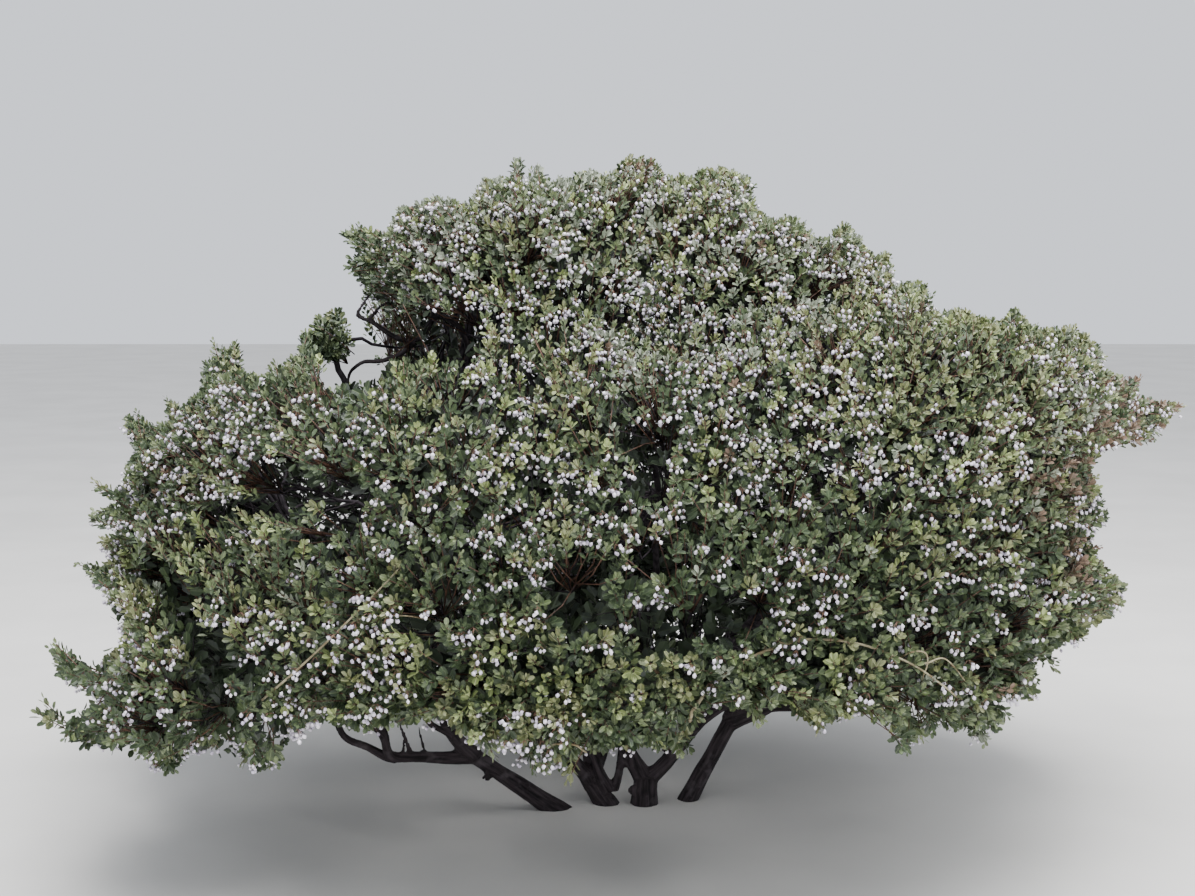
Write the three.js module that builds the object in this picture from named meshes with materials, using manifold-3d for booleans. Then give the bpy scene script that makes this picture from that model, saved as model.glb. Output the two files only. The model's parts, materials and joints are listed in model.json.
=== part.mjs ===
// A wide flowering manzanita shrub. Four dark stems rise from one root crown, crooked boughs
// fan out under a low dome, and dense masses of leaves and hanging blossom close the dome.
// Millimetres, +Z up, +X to the right and -Y to the front. The origin is the middle of the
// main stem's flat cut at ground level.
import * as THREE from 'three';
import { mergeVertices } from 'three/addons/utils/BufferGeometryUtils.js';
import Module from 'manifold-3d';

const wasm = await Module();
wasm.setup();

// The dome is three rings of foliage masses with a few single ones. Each ring lies on an oval
// whose reach to the right, back, left and front is that of its outermost leaves. A ring's first
// mass stands at the azimuth "first", in degrees anticlockwise from +X. Masses are pushed out and
// lifted by their own amounts, in order, which makes the dome as uneven as a grown one.
const rings = [
  {
    name: 'skirt', first: 5, height: 435, depth: 260, rise: 215,
    reach: { right: 850, back: 790, left: 1010, front: 850 },
    push: [40, 0, 20, 0, 50, 30, 0, 0, -15],
    lift: [50, 10, 0, 15, 25, -50, 25, 45, 0],
  },
  {
    name: 'shoulder', first: 0, height: 670, depth: 280, rise: 230,
    reach: { right: 900, back: 770, left: 1000, front: 740 },
    push: [-30, 20, 0, 0, -10, 0, 0, 20],
    lift: [60, 70, 30, 20, -45, 0, 10, 50],
  },
  {
    name: 'brow', first: 55, height: 900, depth: 270, rise: 240,
    reach: { right: 600, back: 590, left: 640, front: 540 },
    push: [-30, 0, -50, 0, 0, -60],
    lift: [0, 40, 45, 45, 15, -30],
  },
];
const singles = [
  { name: 'cap', centre: [-60, 60, 985], half: [450, 320, 230] },
  { name: 'clump', centre: [-580, 20, 868], half: [100, 95, 82] },
  { name: 'toe', centre: [-855, -440, 325], half: [155, 160, 118] },
  { name: 'apron', centre: [-30, -430, 330], half: [185, 150, 125] },
  { name: 'spur', centre: [870, 60, 740], half: [155, 130, 90] },
];
const ovalPower = 2.2; // how square the rings are in plan, 2 being an ellipse
const massPower = 2.8; // how square a mass is
const sideLap = 1.5; // a mass is wider than its share of the ring, and is cut by its neighbours

// Stems: where each stands, where it forks, and its diameters above the flare and at the fork.
const stems = [
  { name: 'left', foot: [-172, -30, 0], fork: [-316, -62, 110], thick: 33, thin: 28 },
  { name: 'inner', foot: [-74, 0, 0], fork: [-100, 2, 36], thick: 35, thin: 32 },
  { name: 'main', foot: [0, 0, 0], fork: [2, 2, 44], thick: 43, thin: 41 },
  { name: 'right', foot: [84, 24, 0], fork: [164, 34, 152], thick: 33, thin: 30 },
];
const flare = { share: 0.22, height: 28 }; // the root flare widens a stem's foot by this share

// Boughs: each one leads to one mass. A leader starts at a stem's fork and leaves it the way
// given here, and the rest leave a leader. keeps is how far a bough keeps the way it started.
const leaders = [
  { stem: 'left', mass: 'skirt_6', leaves: [-1, -0.2, -0.1], keeps: 0.85 },
  { stem: 'left', mass: 'shoulder_5', leaves: [-0.6, -0.1, 0.75] },
  { stem: 'inner', mass: 'shoulder_6', leaves: [-0.55, -0.25, 0.8] },
  { stem: 'inner', mass: 'shoulder_4', leaves: [-0.05, 0.35, 0.9] },
  { stem: 'inner', mass: 'shoulder_3', leaves: [0.4, 0.25, 0.85] },
  { stem: 'main', mass: 'shoulder_7', leaves: [-0.5, -0.15, 0.85] },
  { stem: 'main', mass: 'shoulder_8', leaves: [0.75, -0.15, 0.7] },
  { stem: 'right', mass: 'shoulder_1', leaves: [0.9, 0.05, 0.3] },
  { stem: 'right', mass: 'shoulder_2', leaves: [0.2, 0.3, 0.9] },
];
const singleHosts = {
  cap: 'shoulder_7', apron: 'shoulder_7', clump: 'brow_3', toe: 'skirt_6', spur: 'shoulder_1',
};
// Side boughs: how far along its host each kind leaves, and how steeply it climbs.
const sideBoughs = {
  skirt: { leavesAt: 0.34, climb: 0.1 },
  brow: { leavesAt: 0.54, climb: 0.5 },
  cap: { leavesAt: 0.4, climb: 0.8 },
  clump: { leavesAt: 0.5, climb: 0.2 },
  toe: { leavesAt: 0.55, climb: 0.1 },
  apron: { leavesAt: 0.3, climb: 0 },
  spur: { leavesAt: 0.6, climb: 0.4 },
};
const stemFacets = { sides: 8, steps: 4 };
const bough = { tipRadius: 6, tipShare: 0.75, radiusPerRoot: 8.4, taper: 0.8, sides: 5, steps: 4 };
const crook = { swing: 0.035, turns: 1.1, weave: 1.7, leaving: 0.35, arriving: 0.3 };
const limbRoom = 4; // no leaf comes nearer to a limb than this
const limbSamples = 60; // points along a limb where its nearness to others is tested
const clearance = 0.3; // between a bough's butt and the fork it grows from
const apart = 4; // a bough is a node of its own once it stands this far from its parent and siblings

// Foliage: each leaf stands for a spray of real ones, and each blossom for a hanging cluster.
const core = { inset: 74, wallGap: 5, lump: 0.06, detail: 1 };
const twig = { radius: 9, reach: 46, whorl: 3, every: 8 };
const leaf = { length: 110, width: 68, thick: 4, widest: 0.58, sunk: 15, lean: [30, 64], tries: 10 };
const blossom = { length: 46, width: 30, thick: 30, widest: 0.7, sunk: 8 };
const spacing = 121; // from one leaf or twig to the next on the skin of a core
const fullSize = 170; // masses thinner than twice this bear leaves and twigs smaller in proportion
const heart = new THREE.Vector3(0, 0, 430); // the crown's dark middle, where no leaves stand
const shadeLimit = -0.2; // leaves stand where a mass's skin faces away from the heart
const unevenTurn = 0.4; // radians by which leaves stray from an even spread

const bark = new THREE.MeshStandardMaterial({ color: 0x2e2729, roughness: 0.8, metalness: 0 });
const foliage = new THREE.MeshStandardMaterial({ color: 0x4c6035, roughness: 0.5, metalness: 0 });

const degrees = Math.PI / 180;
const goldenAngle = Math.PI * (3 - Math.sqrt(5));
const up = new THREE.Vector3(0, 0, 1);

// A small seeded generator, so that the same shrub grows each time.
function randomFrom(seed) {
  let state = (seed * 7919) % 2147483647;
  return () => {
    state = (state * 16807) % 2147483647;
    return state / 2147483647;
  };
}

function solidOf(geometry) {
  const bare = geometry.index ? geometry.toNonIndexed() : geometry.clone();
  for (const name of Object.keys(bare.attributes)) {
    if (name !== 'position') {
      bare.deleteAttribute(name);
    }
  }
  const merged = mergeVertices(bare, 1e-3);
  return new wasm.Manifold(new wasm.Mesh({
    numProp: 3,
    vertProperties: merged.attributes.position.array,
    triVerts: new Uint32Array(merged.index.array),
  }));
}

// The largest body of a solid: loose scraps and sealed hollows are dropped.
function wholeBody(solid) {
  const bodies = solid.decompose();
  return bodies.reduce((best, body) => (body.volume() > best.volume() ? body : best));
}

function meshOf(name, solid, material) {
  const { vertProperties, triVerts } = solid.getMesh();
  const geometry = new THREE.BufferGeometry();
  geometry.setAttribute('position', new THREE.BufferAttribute(vertProperties, 3));
  geometry.setIndex(new THREE.BufferAttribute(triVerts, 1));
  const faceted = geometry.toNonIndexed();
  faceted.computeVertexNormals();
  const mesh = new THREE.Mesh(faceted, material);
  mesh.name = name;
  return mesh;
}

// Where the masses of foliage are.

function ovalReach(reach, azimuth) {
  const x = Math.cos(azimuth);
  const y = Math.sin(azimuth);
  const alongX = x > 0 ? reach.right : reach.left;
  const alongY = y > 0 ? reach.back : reach.front;
  const sum = Math.abs(x / alongX) ** ovalPower + Math.abs(y / alongY) ** ovalPower;
  return sum ** (-1 / ovalPower);
}

function ringMasses(ring) {
  return ring.push.map((push, i) => {
    const azimuth = ring.first * degrees + (i * 2 * Math.PI) / ring.push.length;
    const radius = ovalReach(ring.reach, azimuth) + push - ring.depth;
    const out = new THREE.Vector3(Math.cos(azimuth), Math.sin(azimuth), 0);
    const centre = out.clone().multiplyScalar(radius).setZ(ring.height + ring.lift[i]);
    const side = (sideLap * Math.PI * radius) / ring.push.length;
    const half = [ring.depth, side, ring.rise];
    return { name: `${ring.name}_${i + 1}`, kind: ring.name, azimuth, out, centre, half };
  });
}

function singleMass({ name, centre, half }) {
  return {
    name, kind: name, azimuth: Math.atan2(centre[1], centre[0]),
    out: new THREE.Vector3(1, 0, 0), centre: new THREE.Vector3(...centre), half,
  };
}

const masses = [...rings.flatMap(ringMasses), ...singles.map(singleMass)];

// How far a mass would reach from its centre along a direction, were it alone.
function ownReach(mass, direction) {
  const side = new THREE.Vector3().crossVectors(up, mass.out);
  const along = [direction.dot(mass.out), direction.dot(side), direction.z];
  const sum = along.reduce((s, a, i) => s + Math.abs(a / mass.half[i]) ** massPower, 0);
  return sum ** (-1 / massPower);
}

// The walls between a mass and its neighbours: planes set by how far each one reaches.
function wallsOf(mass) {
  return masses.filter((other) => other !== mass).map((other) => {
    const normal = other.centre.clone().sub(mass.centre);
    const apart = normal.length();
    normal.divideScalar(apart);
    const mine = ownReach(mass, normal);
    const theirs = ownReach(other, normal);
    return { normal, distance: (apart * mine) / (mine + theirs) - clearance };
  });
}

function inSpace(mass, point) {
  const from = point.clone().sub(mass.centre);
  const distance = from.length();
  const inWalls = mass.walls.every((wall) => from.dot(wall.normal) < wall.distance);
  return inWalls && distance < ownReach(mass, from.clone().divideScalar(distance));
}

function wallReach(mass, direction) {
  return mass.walls.reduce((least, wall) => {
    const slant = direction.dot(wall.normal);
    return slant > 1e-6 ? Math.min(least, wall.distance / slant) : least;
  }, Infinity);
}

function reachOf(mass, direction) {
  return Math.min(ownReach(mass, direction), wallReach(mass, direction));
}

masses.forEach((mass) => {
  mass.walls = wallsOf(mass);
  mass.scale = Math.min(1, Math.min(...mass.half) / fullSize);
});
const massNamed = Object.fromEntries(masses.map((mass) => [mass.name, mass]));

// The stems and boughs.

// A limb's centre line: a smooth curve from its parent to its mass, a little crooked.
class CrookedLine extends THREE.Curve {
  constructor(start, startWay, keeps, end, endWay, phase) {
    super();
    const length = start.distanceTo(end);
    this.bend = new THREE.CubicBezierCurve3(
      start, start.clone().addScaledVector(startWay, keeps * length),
      end.clone().addScaledVector(endWay, -crook.arriving * length), end,
    );
    const way = end.clone().sub(start).normalize();
    this.across = new THREE.Vector3().crossVectors(way, up).normalize();
    this.over = new THREE.Vector3().crossVectors(this.across, way);
    this.swing = length * crook.swing;
    this.phase = phase;
  }

  getPoint(t) {
    const fade = Math.sin(Math.PI * t) * this.swing;
    const turn = 2 * Math.PI * crook.turns * t + this.phase;
    return this.bend.getPoint(t)
      .addScaledVector(this.across, fade * Math.cos(turn))
      .addScaledVector(this.over, fade * Math.sin(crook.weave * turn));
  }
}

// A cylinder bent along a curve, with a ring of its own radius at each place on the curve. All
// its rings start from the same level direction, so its faces run straight along it.
function bentCylinder(curve, places, radiusAt, sides) {
  const steps = places.length - 1;
  const geometry = new THREE.CylinderGeometry(1, 1, 1, sides, steps).toNonIndexed();
  const position = geometry.attributes.position;
  const point = new THREE.Vector3();
  const level = curve.getPoint(1).sub(curve.getPoint(0)).cross(up);
  for (let i = 0; i < position.count; i += 1) {
    point.fromBufferAttribute(position, i);
    const t = places[Math.round((point.y + 0.5) * steps)];
    const way = curve.getTangent(Math.min(t, 1));
    const over = new THREE.Vector3().crossVectors(level, way).normalize();
    const across = new THREE.Vector3().crossVectors(way, over);
    const radius = radiusAt(t);
    const place = curve.getPoint(t)
      .addScaledVector(across, point.x * radius)
      .addScaledVector(over, point.z * radius);
    position.setXYZ(i, place.x, place.y, place.z);
  }
  return solidOf(geometry);
}

const limbs = [];

function addBough(name, mass, parent, start, startWay, startRadius, keeps = crook.leaving) {
  const inward = start.clone().sub(mass.centre).normalize();
  const end = mass.centre.clone().addScaledVector(inward, reachOf(mass, inward));
  const endWay = inward.clone().negate();
  const curve = new CrookedLine(start, startWay, keeps, end, endWay, goldenAngle * limbs.length);
  const tipRadius = Math.min(bough.tipRadius, bough.tipShare * startRadius);
  const radiusAt = (t) => THREE.MathUtils.lerp(startRadius, tipRadius, t ** bough.taper);
  const limb = { name, curve, mass, parent, tipRadius, radiusAt, leavesAt: 1, children: [] };
  mass.bough = limb;
  limbs.push(limb);
  parent.children.push(limb);
  return limb;
}

const stemLimbs = stems.map((stem) => {
  const foot = new THREE.Vector3(...stem.foot);
  const fork = new THREE.Vector3(...stem.fork);
  const way = fork.clone().sub(foot).normalize();
  const below = foot.clone().addScaledVector(way, (-2 * stem.thick) / way.z);
  const curve = new THREE.LineCurve3(below, fork);
  const radiusAt = (t) => {
    const height = curve.getPoint(t).z;
    const share = THREE.MathUtils.clamp(height / fork.z, 0, 1);
    const widening = 1 + flare.share * Math.exp(-Math.max(height, 0) / flare.height);
    return (THREE.MathUtils.lerp(stem.thick, stem.thin, share) / 2) * widening;
  };
  return { name: `stem_${stem.name}`, key: stem.name, curve, radiusAt, fork, children: [] };
});

// Side boughs leave the leader whose mass stands nearest in azimuth.
function turnBetween(a, b) {
  return Math.abs(Math.atan2(Math.sin(a - b), Math.cos(a - b)));
}

function nearestLeader(mass) {
  const ledTo = leaders.map((leader) => massNamed[leader.mass]).filter((m) => m.kind === 'shoulder');
  return ledTo.reduce((best, m) => (
    turnBetween(m.azimuth, mass.azimuth) < turnBetween(best.azimuth, mass.azimuth) ? m : best));
}

const ledMasses = new Set(leaders.map((leader) => leader.mass));
const sideMasses = masses.filter((mass) => !ledMasses.has(mass.name));
const hostOf = new Map(sideMasses.map((mass) => [mass, nearestLeader(mass)]));
Object.entries(singleHosts).forEach(([name, host]) => {
  hostOf.set(massNamed[name], massNamed[host]);
});

// A leader is thicker the more masses hang on it.
leaders.forEach(({ stem, mass: massName, leaves, keeps }) => {
  const parent = stemLimbs.find((limb) => limb.key === stem);
  const mass = massNamed[massName];
  const load = 1 + [...hostOf.values()].filter((host) => host === mass).length;
  const startWay = new THREE.Vector3(...leaves).normalize();
  const radius = bough.radiusPerRoot * Math.sqrt(load);
  addBough(`bough_${mass.name}`, mass, parent, parent.fork, startWay, radius, keeps);
});

sideMasses.forEach((mass) => {
  const host = hostOf.get(mass).bough;
  const { leavesAt, climb } = sideBoughs[mass.kind];
  const start = host.curve.getPoint(leavesAt);
  const outward = mass.centre.clone().sub(start).normalize();
  const startWay = outward.addScaledVector(up, climb).add(host.curve.getTangent(leavesAt)).normalize();
  const radius = Math.min(bough.radiusPerRoot, 0.85 * host.radiusAt(leavesAt));
  const limb = addBough(`bough_${mass.name}`, mass, host, start, startWay, radius);
  limb.leavesAt = leavesAt;
});

function pointsAlong(limb) {
  return Array.from({ length: limbSamples + 1 }, (_, i) => {
    const t = i / limbSamples;
    return { limb, point: limb.curve.getPoint(t), radius: limb.radiusAt(t) };
  });
}

// Where a child's stub ends, as a share of the child's line: clear of its parent and siblings.
function stubEnd(child) {
  const others = [child.parent, ...child.parent.children].filter((other) => other !== child);
  const around = others.flatMap(pointsAlong);
  const free = pointsAlong(child).findIndex(({ point, radius }) => (
    around.every((at) => at.point.distanceTo(point) > at.radius + radius + apart)));
  return free / limbSamples;
}

// Where a limb's rings are: one at each child's root, and others in the widest gaps between.
function ringPlaces(limb, start, end, steps) {
  const roots = limb.children.map((child) => child.leavesAt).filter((t) => t > start && t < 1);
  const places = [...new Set([start, ...roots, end])].sort((a, b) => a - b);
  while (places.length <= steps) {
    const gaps = places.slice(1).map((t, i) => t - places[i]);
    const widest = gaps.indexOf(Math.max(...gaps));
    places.splice(widest + 1, 0, (places[widest] + places[widest + 1]) / 2);
  }
  return places;
}

// A limb with the stubs of its children, all of it grown outward by a margin.
function limbSolid(limb, margin) {
  const { sides, steps } = limb.parent ? bough : stemFacets;
  const length = limb.curve.getLength();
  const start = limb.parent ? stubEnd(limb) + (clearance - margin) / length : 0;
  const places = ringPlaces(limb, start, 1 + margin / length, steps);
  const own = bentCylinder(limb.curve, places, grown(limb, margin), sides);
  const stubs = limb.children.map((child) => (
    bentCylinder(child.curve, [0, stubEnd(child)], grown(child, margin), bough.sides)));
  return wasm.Manifold.union([own, ...stubs]);
}

function grown(limb, margin) {
  return (t) => limb.radiusAt(Math.min(t, 1)) + margin;
}

const allLimbs = [...stemLimbs, ...limbs];
const limbSolids = allLimbs.map((limb) => wholeBody(limbSolid(limb, 0).trimByPlane([0, 0, 1], 0)));
const roomAround = new Map(allLimbs.map((limb) => [limb, limbSolid(limb, limbRoom)]));

// The leaves, twigs and blossom of each mass.

// A leaf of four faces, keeled along its midrib below and folded across above.
function keeled({ length, width, thick, widest }) {
  const at = widest * length;
  const corners = [[0, thick / 2, 0], [0, thick / 2, length], [width / 2, -thick / 2, at],
    [-width / 2, -thick / 2, at]];
  const faces = [[0, 1, 2], [0, 3, 1], [0, 2, 3], [1, 3, 2]];
  const geometry = new THREE.BufferGeometry();
  const points = faces.flat().flatMap((corner) => corners[corner]);
  geometry.setAttribute('position', new THREE.Float32BufferAttribute(points, 3));
  return geometry;
}

function placed(geometry, root, way, roll, scale = 1) {
  const turn = new THREE.Quaternion().setFromUnitVectors(up, way);
  turn.multiply(new THREE.Quaternion().setFromAxisAngle(up, roll));
  const copy = geometry.clone();
  copy.applyMatrix4(new THREE.Matrix4().compose(root, turn, new THREE.Vector3(scale, scale, scale)));
  return copy;
}

function cornersOf(geometry) {
  const position = geometry.attributes.position;
  return Array.from({ length: position.count }, (_, i) => (
    new THREE.Vector3().fromBufferAttribute(position, i)));
}

const limbPoints = allLimbs.flatMap(pointsAlong);

function nears(limb, mass) {
  const widest = Math.hypot(...mass.half);
  return limbPoints.some((at) => at.limb === limb && at.point.distanceTo(mass.centre) < widest);
}

function touchesLimb(corners) {
  return limbPoints.some(({ point, radius }) => (
    corners.some((corner) => corner.distanceTo(point) < radius + limbRoom)));
}

// A leaf, twig or blossom that would leave its mass's space or touch a limb is left out.
function fits(mass, geometry) {
  const corners = cornersOf(geometry);
  return corners.every((corner) => inSpace(mass, corner)) && !touchesLimb(corners);
}

// The core stays inside the mass's own outline, and fills it up to the walls.
function coreReach(mass, direction) {
  return ownReach(mass, direction) - core.inset * mass.scale;
}

function coreSolid(mass, random) {
  const geometry = new THREE.IcosahedronGeometry(1, core.detail);
  const merged = mergeVertices(new THREE.BufferGeometry()
    .setAttribute('position', geometry.attributes.position), 1e-3);
  const position = merged.attributes.position;
  const direction = new THREE.Vector3();
  for (let i = 0; i < position.count; i += 1) {
    direction.fromBufferAttribute(position, i).normalize();
    const lump = 1 - core.lump * random();
    direction.multiplyScalar(coreReach(mass, direction) * lump).add(mass.centre);
    position.setXYZ(i, direction.x, direction.y, direction.z);
  }
  return mass.walls.reduce((rest, { normal, distance }) => {
    const offset = normal.dot(mass.centre) + distance - core.wallGap;
    return rest.trimByPlane([-normal.x, -normal.y, -normal.z], -offset);
  }, solidOf(merged));
}

// A three-sided twig that leads from one point to another.
function twigBetween(from, to, radius) {
  const way = to.clone().sub(from);
  const length = way.length();
  const geometry = new THREE.ConeGeometry(radius, length, 3, 1);
  geometry.rotateX(Math.PI / 2).translate(0, 0, length / 2);
  return placed(geometry, from, way.normalize(), 0);
}

const leafShape = keeled(leaf);
const blossomShape = keeled(blossom);

function leafLeaning(root, way, lean, roll, scale) {
  const side = new THREE.Vector3().crossVectors(way, up).normalize().applyAxisAngle(way, roll);
  const leafWay = way.clone().multiplyScalar(Math.cos(lean)).addScaledVector(side, Math.sin(lean));
  return placed(leafShape, root.clone().addScaledVector(leafWay, -leaf.sunk * scale), leafWay, roll, scale);
}

// The first of some leaves tried at random about a point that keeps to the mass's space.
function leafThatFits(mass, root, way, random) {
  const [least, most] = leaf.lean;
  const tried = Array.from({ length: leaf.tries }, () => {
    const lean = THREE.MathUtils.lerp(least, most, random()) * degrees;
    return leafLeaning(root, way, lean, 2 * Math.PI * random(), mass.scale);
  });
  return tried.filter((geometry) => fits(mass, geometry)).slice(0, 1);
}

// A twig with a whorl of leaves at its tip and a blossom hanging under them.
function flowerTwig(mass, skin, way, random) {
  const root = skin.clone().addScaledVector(way, -leaf.sunk * mass.scale);
  const tip = skin.clone().addScaledVector(way, twig.reach * mass.scale);
  const roll = 2 * Math.PI * random();
  const lean = leaf.lean[1] * degrees;
  const leaves = Array.from({ length: twig.whorl }, (_, j) => (
    leafLeaning(tip, way, lean, roll + (j * 2 * Math.PI) / twig.whorl, mass.scale)));
  const hang = way.clone().multiplyScalar(0.5).addScaledVector(up, -1).normalize();
  const bloomRoot = tip.clone().addScaledVector(hang, -blossom.sunk * mass.scale);
  const bloom = placed(blossomShape, bloomRoot, hang, roll, mass.scale);
  const stalk = twigBetween(root, tip, twig.radius * mass.scale);
  const fitting = [...leaves, bloom].filter((geometry) => fits(mass, geometry));
  return fitting.length && fits(mass, stalk) ? [stalk, ...fitting] : [];
}

// A mass: its stem, which starts inside its bough's tip and is cut back clear of it, its core,
// and the leaves and twigs that leave the core evenly on all sides that see the light.
function massSolid(mass, index) {
  const random = randomFrom(index + 1);
  const { curve, tipRadius } = mass.bough;
  const stem = twigBetween(curve.getPoint(0.98), mass.centre, 0.8 * tipRadius);
  const pieces = [coreSolid(mass, random), solidOf(stem)];
  const outward = mass.centre.clone().sub(heart).normalize();
  const [a, b, c] = mass.half;
  const count = Math.round((4 * Math.PI * ((a * b + b * c + c * a) / 3)) / (spacing * mass.scale) ** 2);
  for (let k = 0; k < count; k += 1) {
    const height = 1 - (2 * (k + 0.5)) / count;
    const turn = goldenAngle * k + unevenTurn * random();
    const level = Math.sqrt(1 - height * height);
    const way = new THREE.Vector3(level * Math.cos(turn), level * Math.sin(turn), height);
    if (way.dot(outward) > shadeLimit) {
      const inCore = coreReach(mass, way) * (1 - core.lump);
      const depth = Math.min(inCore, wallReach(mass, way) - core.wallGap);
      const skin = mass.centre.clone().addScaledVector(way, depth);
      const grow = k % twig.every ? leafThatFits : flowerTwig;
      pieces.push(...grow(mass, skin, way, random).map(solidOf));
    }
  }
  const cleared = allLimbs.filter((limb) => limb !== mass.bough && nears(limb, mass))
    .reduce((rest, limb) => rest.subtract(roomAround.get(limb)), wasm.Manifold.union(pieces));
  return wholeBody(cleared.subtract(limbSolid(mass.bough, clearance)));
}

const shrub = new THREE.Group();
allLimbs.forEach((limb, i) => shrub.add(meshOf(limb.name, limbSolids[i], bark)));
masses.forEach((mass, index) => {
  shrub.add(meshOf(`foliage_${mass.name}`, massSolid(mass, index), foliage));
});

export default shrub;
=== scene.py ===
import json
import math

import bpy
import bmesh
import numpy as np
from mathutils import Matrix, Vector
from mathutils.kdtree import KDTree

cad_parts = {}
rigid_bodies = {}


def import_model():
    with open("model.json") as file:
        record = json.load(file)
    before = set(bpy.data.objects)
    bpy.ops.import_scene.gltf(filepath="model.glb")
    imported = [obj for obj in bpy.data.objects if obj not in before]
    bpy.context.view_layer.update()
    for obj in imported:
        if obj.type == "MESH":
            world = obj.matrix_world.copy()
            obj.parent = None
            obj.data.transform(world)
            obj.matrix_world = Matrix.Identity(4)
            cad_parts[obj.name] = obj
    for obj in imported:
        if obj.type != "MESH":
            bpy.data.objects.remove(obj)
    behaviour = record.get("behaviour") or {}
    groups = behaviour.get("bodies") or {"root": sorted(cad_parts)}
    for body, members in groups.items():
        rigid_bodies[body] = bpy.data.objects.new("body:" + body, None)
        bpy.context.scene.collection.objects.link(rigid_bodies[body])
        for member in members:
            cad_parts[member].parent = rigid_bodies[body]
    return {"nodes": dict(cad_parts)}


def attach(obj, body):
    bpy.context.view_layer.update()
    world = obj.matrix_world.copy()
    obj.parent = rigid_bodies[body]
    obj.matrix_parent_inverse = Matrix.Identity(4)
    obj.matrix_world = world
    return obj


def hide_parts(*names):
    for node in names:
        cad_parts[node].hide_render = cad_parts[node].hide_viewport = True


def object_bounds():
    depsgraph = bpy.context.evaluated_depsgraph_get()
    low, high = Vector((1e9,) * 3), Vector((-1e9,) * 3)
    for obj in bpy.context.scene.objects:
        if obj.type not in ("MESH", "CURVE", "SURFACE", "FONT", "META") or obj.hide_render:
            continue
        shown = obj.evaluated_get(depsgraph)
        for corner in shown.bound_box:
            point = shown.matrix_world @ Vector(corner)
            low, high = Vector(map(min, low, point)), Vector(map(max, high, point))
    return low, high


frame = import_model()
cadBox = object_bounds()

# A wide flowering manzanita, grown by the same rule as its solids and carried on to finer twigs.
# Lengths are in millimetres until a mesh is made, with +Z up, +X right and -Y to the front.
millimetre = 0.001
goldenAngle = math.pi * (3 - math.sqrt(5))
upward = np.array([0.0, 0.0, 1.0])
random = np.random.default_rng(417)
view = {"eye": [-89, -3200, 1050], "pitch": 6.70, "lens": 52.72, "film": 36}


def unit(v):
    return v / np.maximum(np.linalg.norm(v, axis=-1, keepdims=True), 1e-9)


def report(stage, *facts):
    print("stage:", stage, *facts)


# Where the masses of foliage are.

crown = {
    "rings": [
        {
            "name": "skirt", "first": 5, "height": 435, "depth": 260, "rise": 215,
            "reach": {"right": 850, "back": 790, "left": 1010, "front": 850},
            "push": [40, 0, 20, 0, 50, 30, 0, 0, -15],
            "lift": [50, 10, 0, 15, 25, -50, 25, 45, 0],
        },
        {
            "name": "shoulder", "first": 0, "height": 670, "depth": 280, "rise": 230,
            "reach": {"right": 900, "back": 770, "left": 1000, "front": 740},
            "push": [-30, 20, 0, 0, -10, 0, 0, 20],
            "lift": [60, 70, 30, 20, -45, 0, 10, 50],
        },
        {
            "name": "brow", "first": 55, "height": 900, "depth": 270, "rise": 240,
            "reach": {"right": 600, "back": 590, "left": 640, "front": 540},
            "push": [-30, 0, -50, 0, 0, -60],
            "lift": [0, 40, 45, 45, 15, -30],
        },
    ],
    "singles": {
        "cap": ([-60, 60, 985], [450, 320, 230]),
        "clump": ([-580, 20, 868], [100, 95, 82]),
        "toe": ([-855, -440, 325], [155, 160, 118]),
        "apron": ([-30, -430, 330], [185, 150, 125]),
        "spur": ([870, 60, 740], [155, 130, 90]),
    },
    "ovalPower": 2.2,  # how square the rings are in plan
    "massPower": 2.8,  # how square a mass is
    "sideLap": 1.5,
    "clearance": 0.3,
    "softness": 7,  # how sharply the leafy skin follows each mass, so that creases close up
    "leastShare": 0.05,  # keeps the sum finite in the middle of a mass
    "skinSearch": {"from": 5.0, "to": 1.6, "halvings": 13},
}


class Mass:
    def __init__(self, name, azimuth, out, centre, half):
        self.name = name
        self.kind = name.split("_")[0]
        self.azimuth = azimuth
        self.out = np.array(out, float)
        self.side = np.cross(upward, self.out)
        self.centre = np.array(centre, float)
        self.half = np.array(half, float)

    def ownReach(self, ways):  # how far it would reach along unit ways, were it alone
        along = np.stack([ways @ self.out, ways @ self.side, ways[:, 2]], axis=1)
        total = (np.abs(along / self.half) ** crown["massPower"]).sum(axis=1)
        return total ** (-1 / crown["massPower"])

    def wallReach(self, ways):  # how far its walls let it reach
        slant = ways @ self.wallNormals.T
        far = np.where(slant > 1e-6, self.wallDistances / np.maximum(slant, 1e-6), np.inf)
        return far.min(axis=1)

    def reach(self, ways):
        return np.minimum(self.ownReach(ways), self.wallReach(ways))


def ovalReach(reach, azimuth):
    x, y = math.cos(azimuth), math.sin(azimuth)
    alongX = reach["right"] if x > 0 else reach["left"]
    alongY = reach["back"] if y > 0 else reach["front"]
    power = crown["ovalPower"]
    return (abs(x / alongX) ** power + abs(y / alongY) ** power) ** (-1 / power)


def ringMasses(ring):
    found = []
    count = len(ring["push"])
    for i in range(count):
        azimuth = math.radians(ring["first"]) + i * 2 * math.pi / count
        radius = ovalReach(ring["reach"], azimuth) + ring["push"][i] - ring["depth"]
        out = [math.cos(azimuth), math.sin(azimuth), 0]
        centre = [radius * out[0], radius * out[1], ring["height"] + ring["lift"][i]]
        half = [ring["depth"], crown["sideLap"] * math.pi * radius / count, ring["rise"]]
        found.append(Mass(f"{ring['name']}_{i + 1}", azimuth, out, centre, half))
    return found


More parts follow.
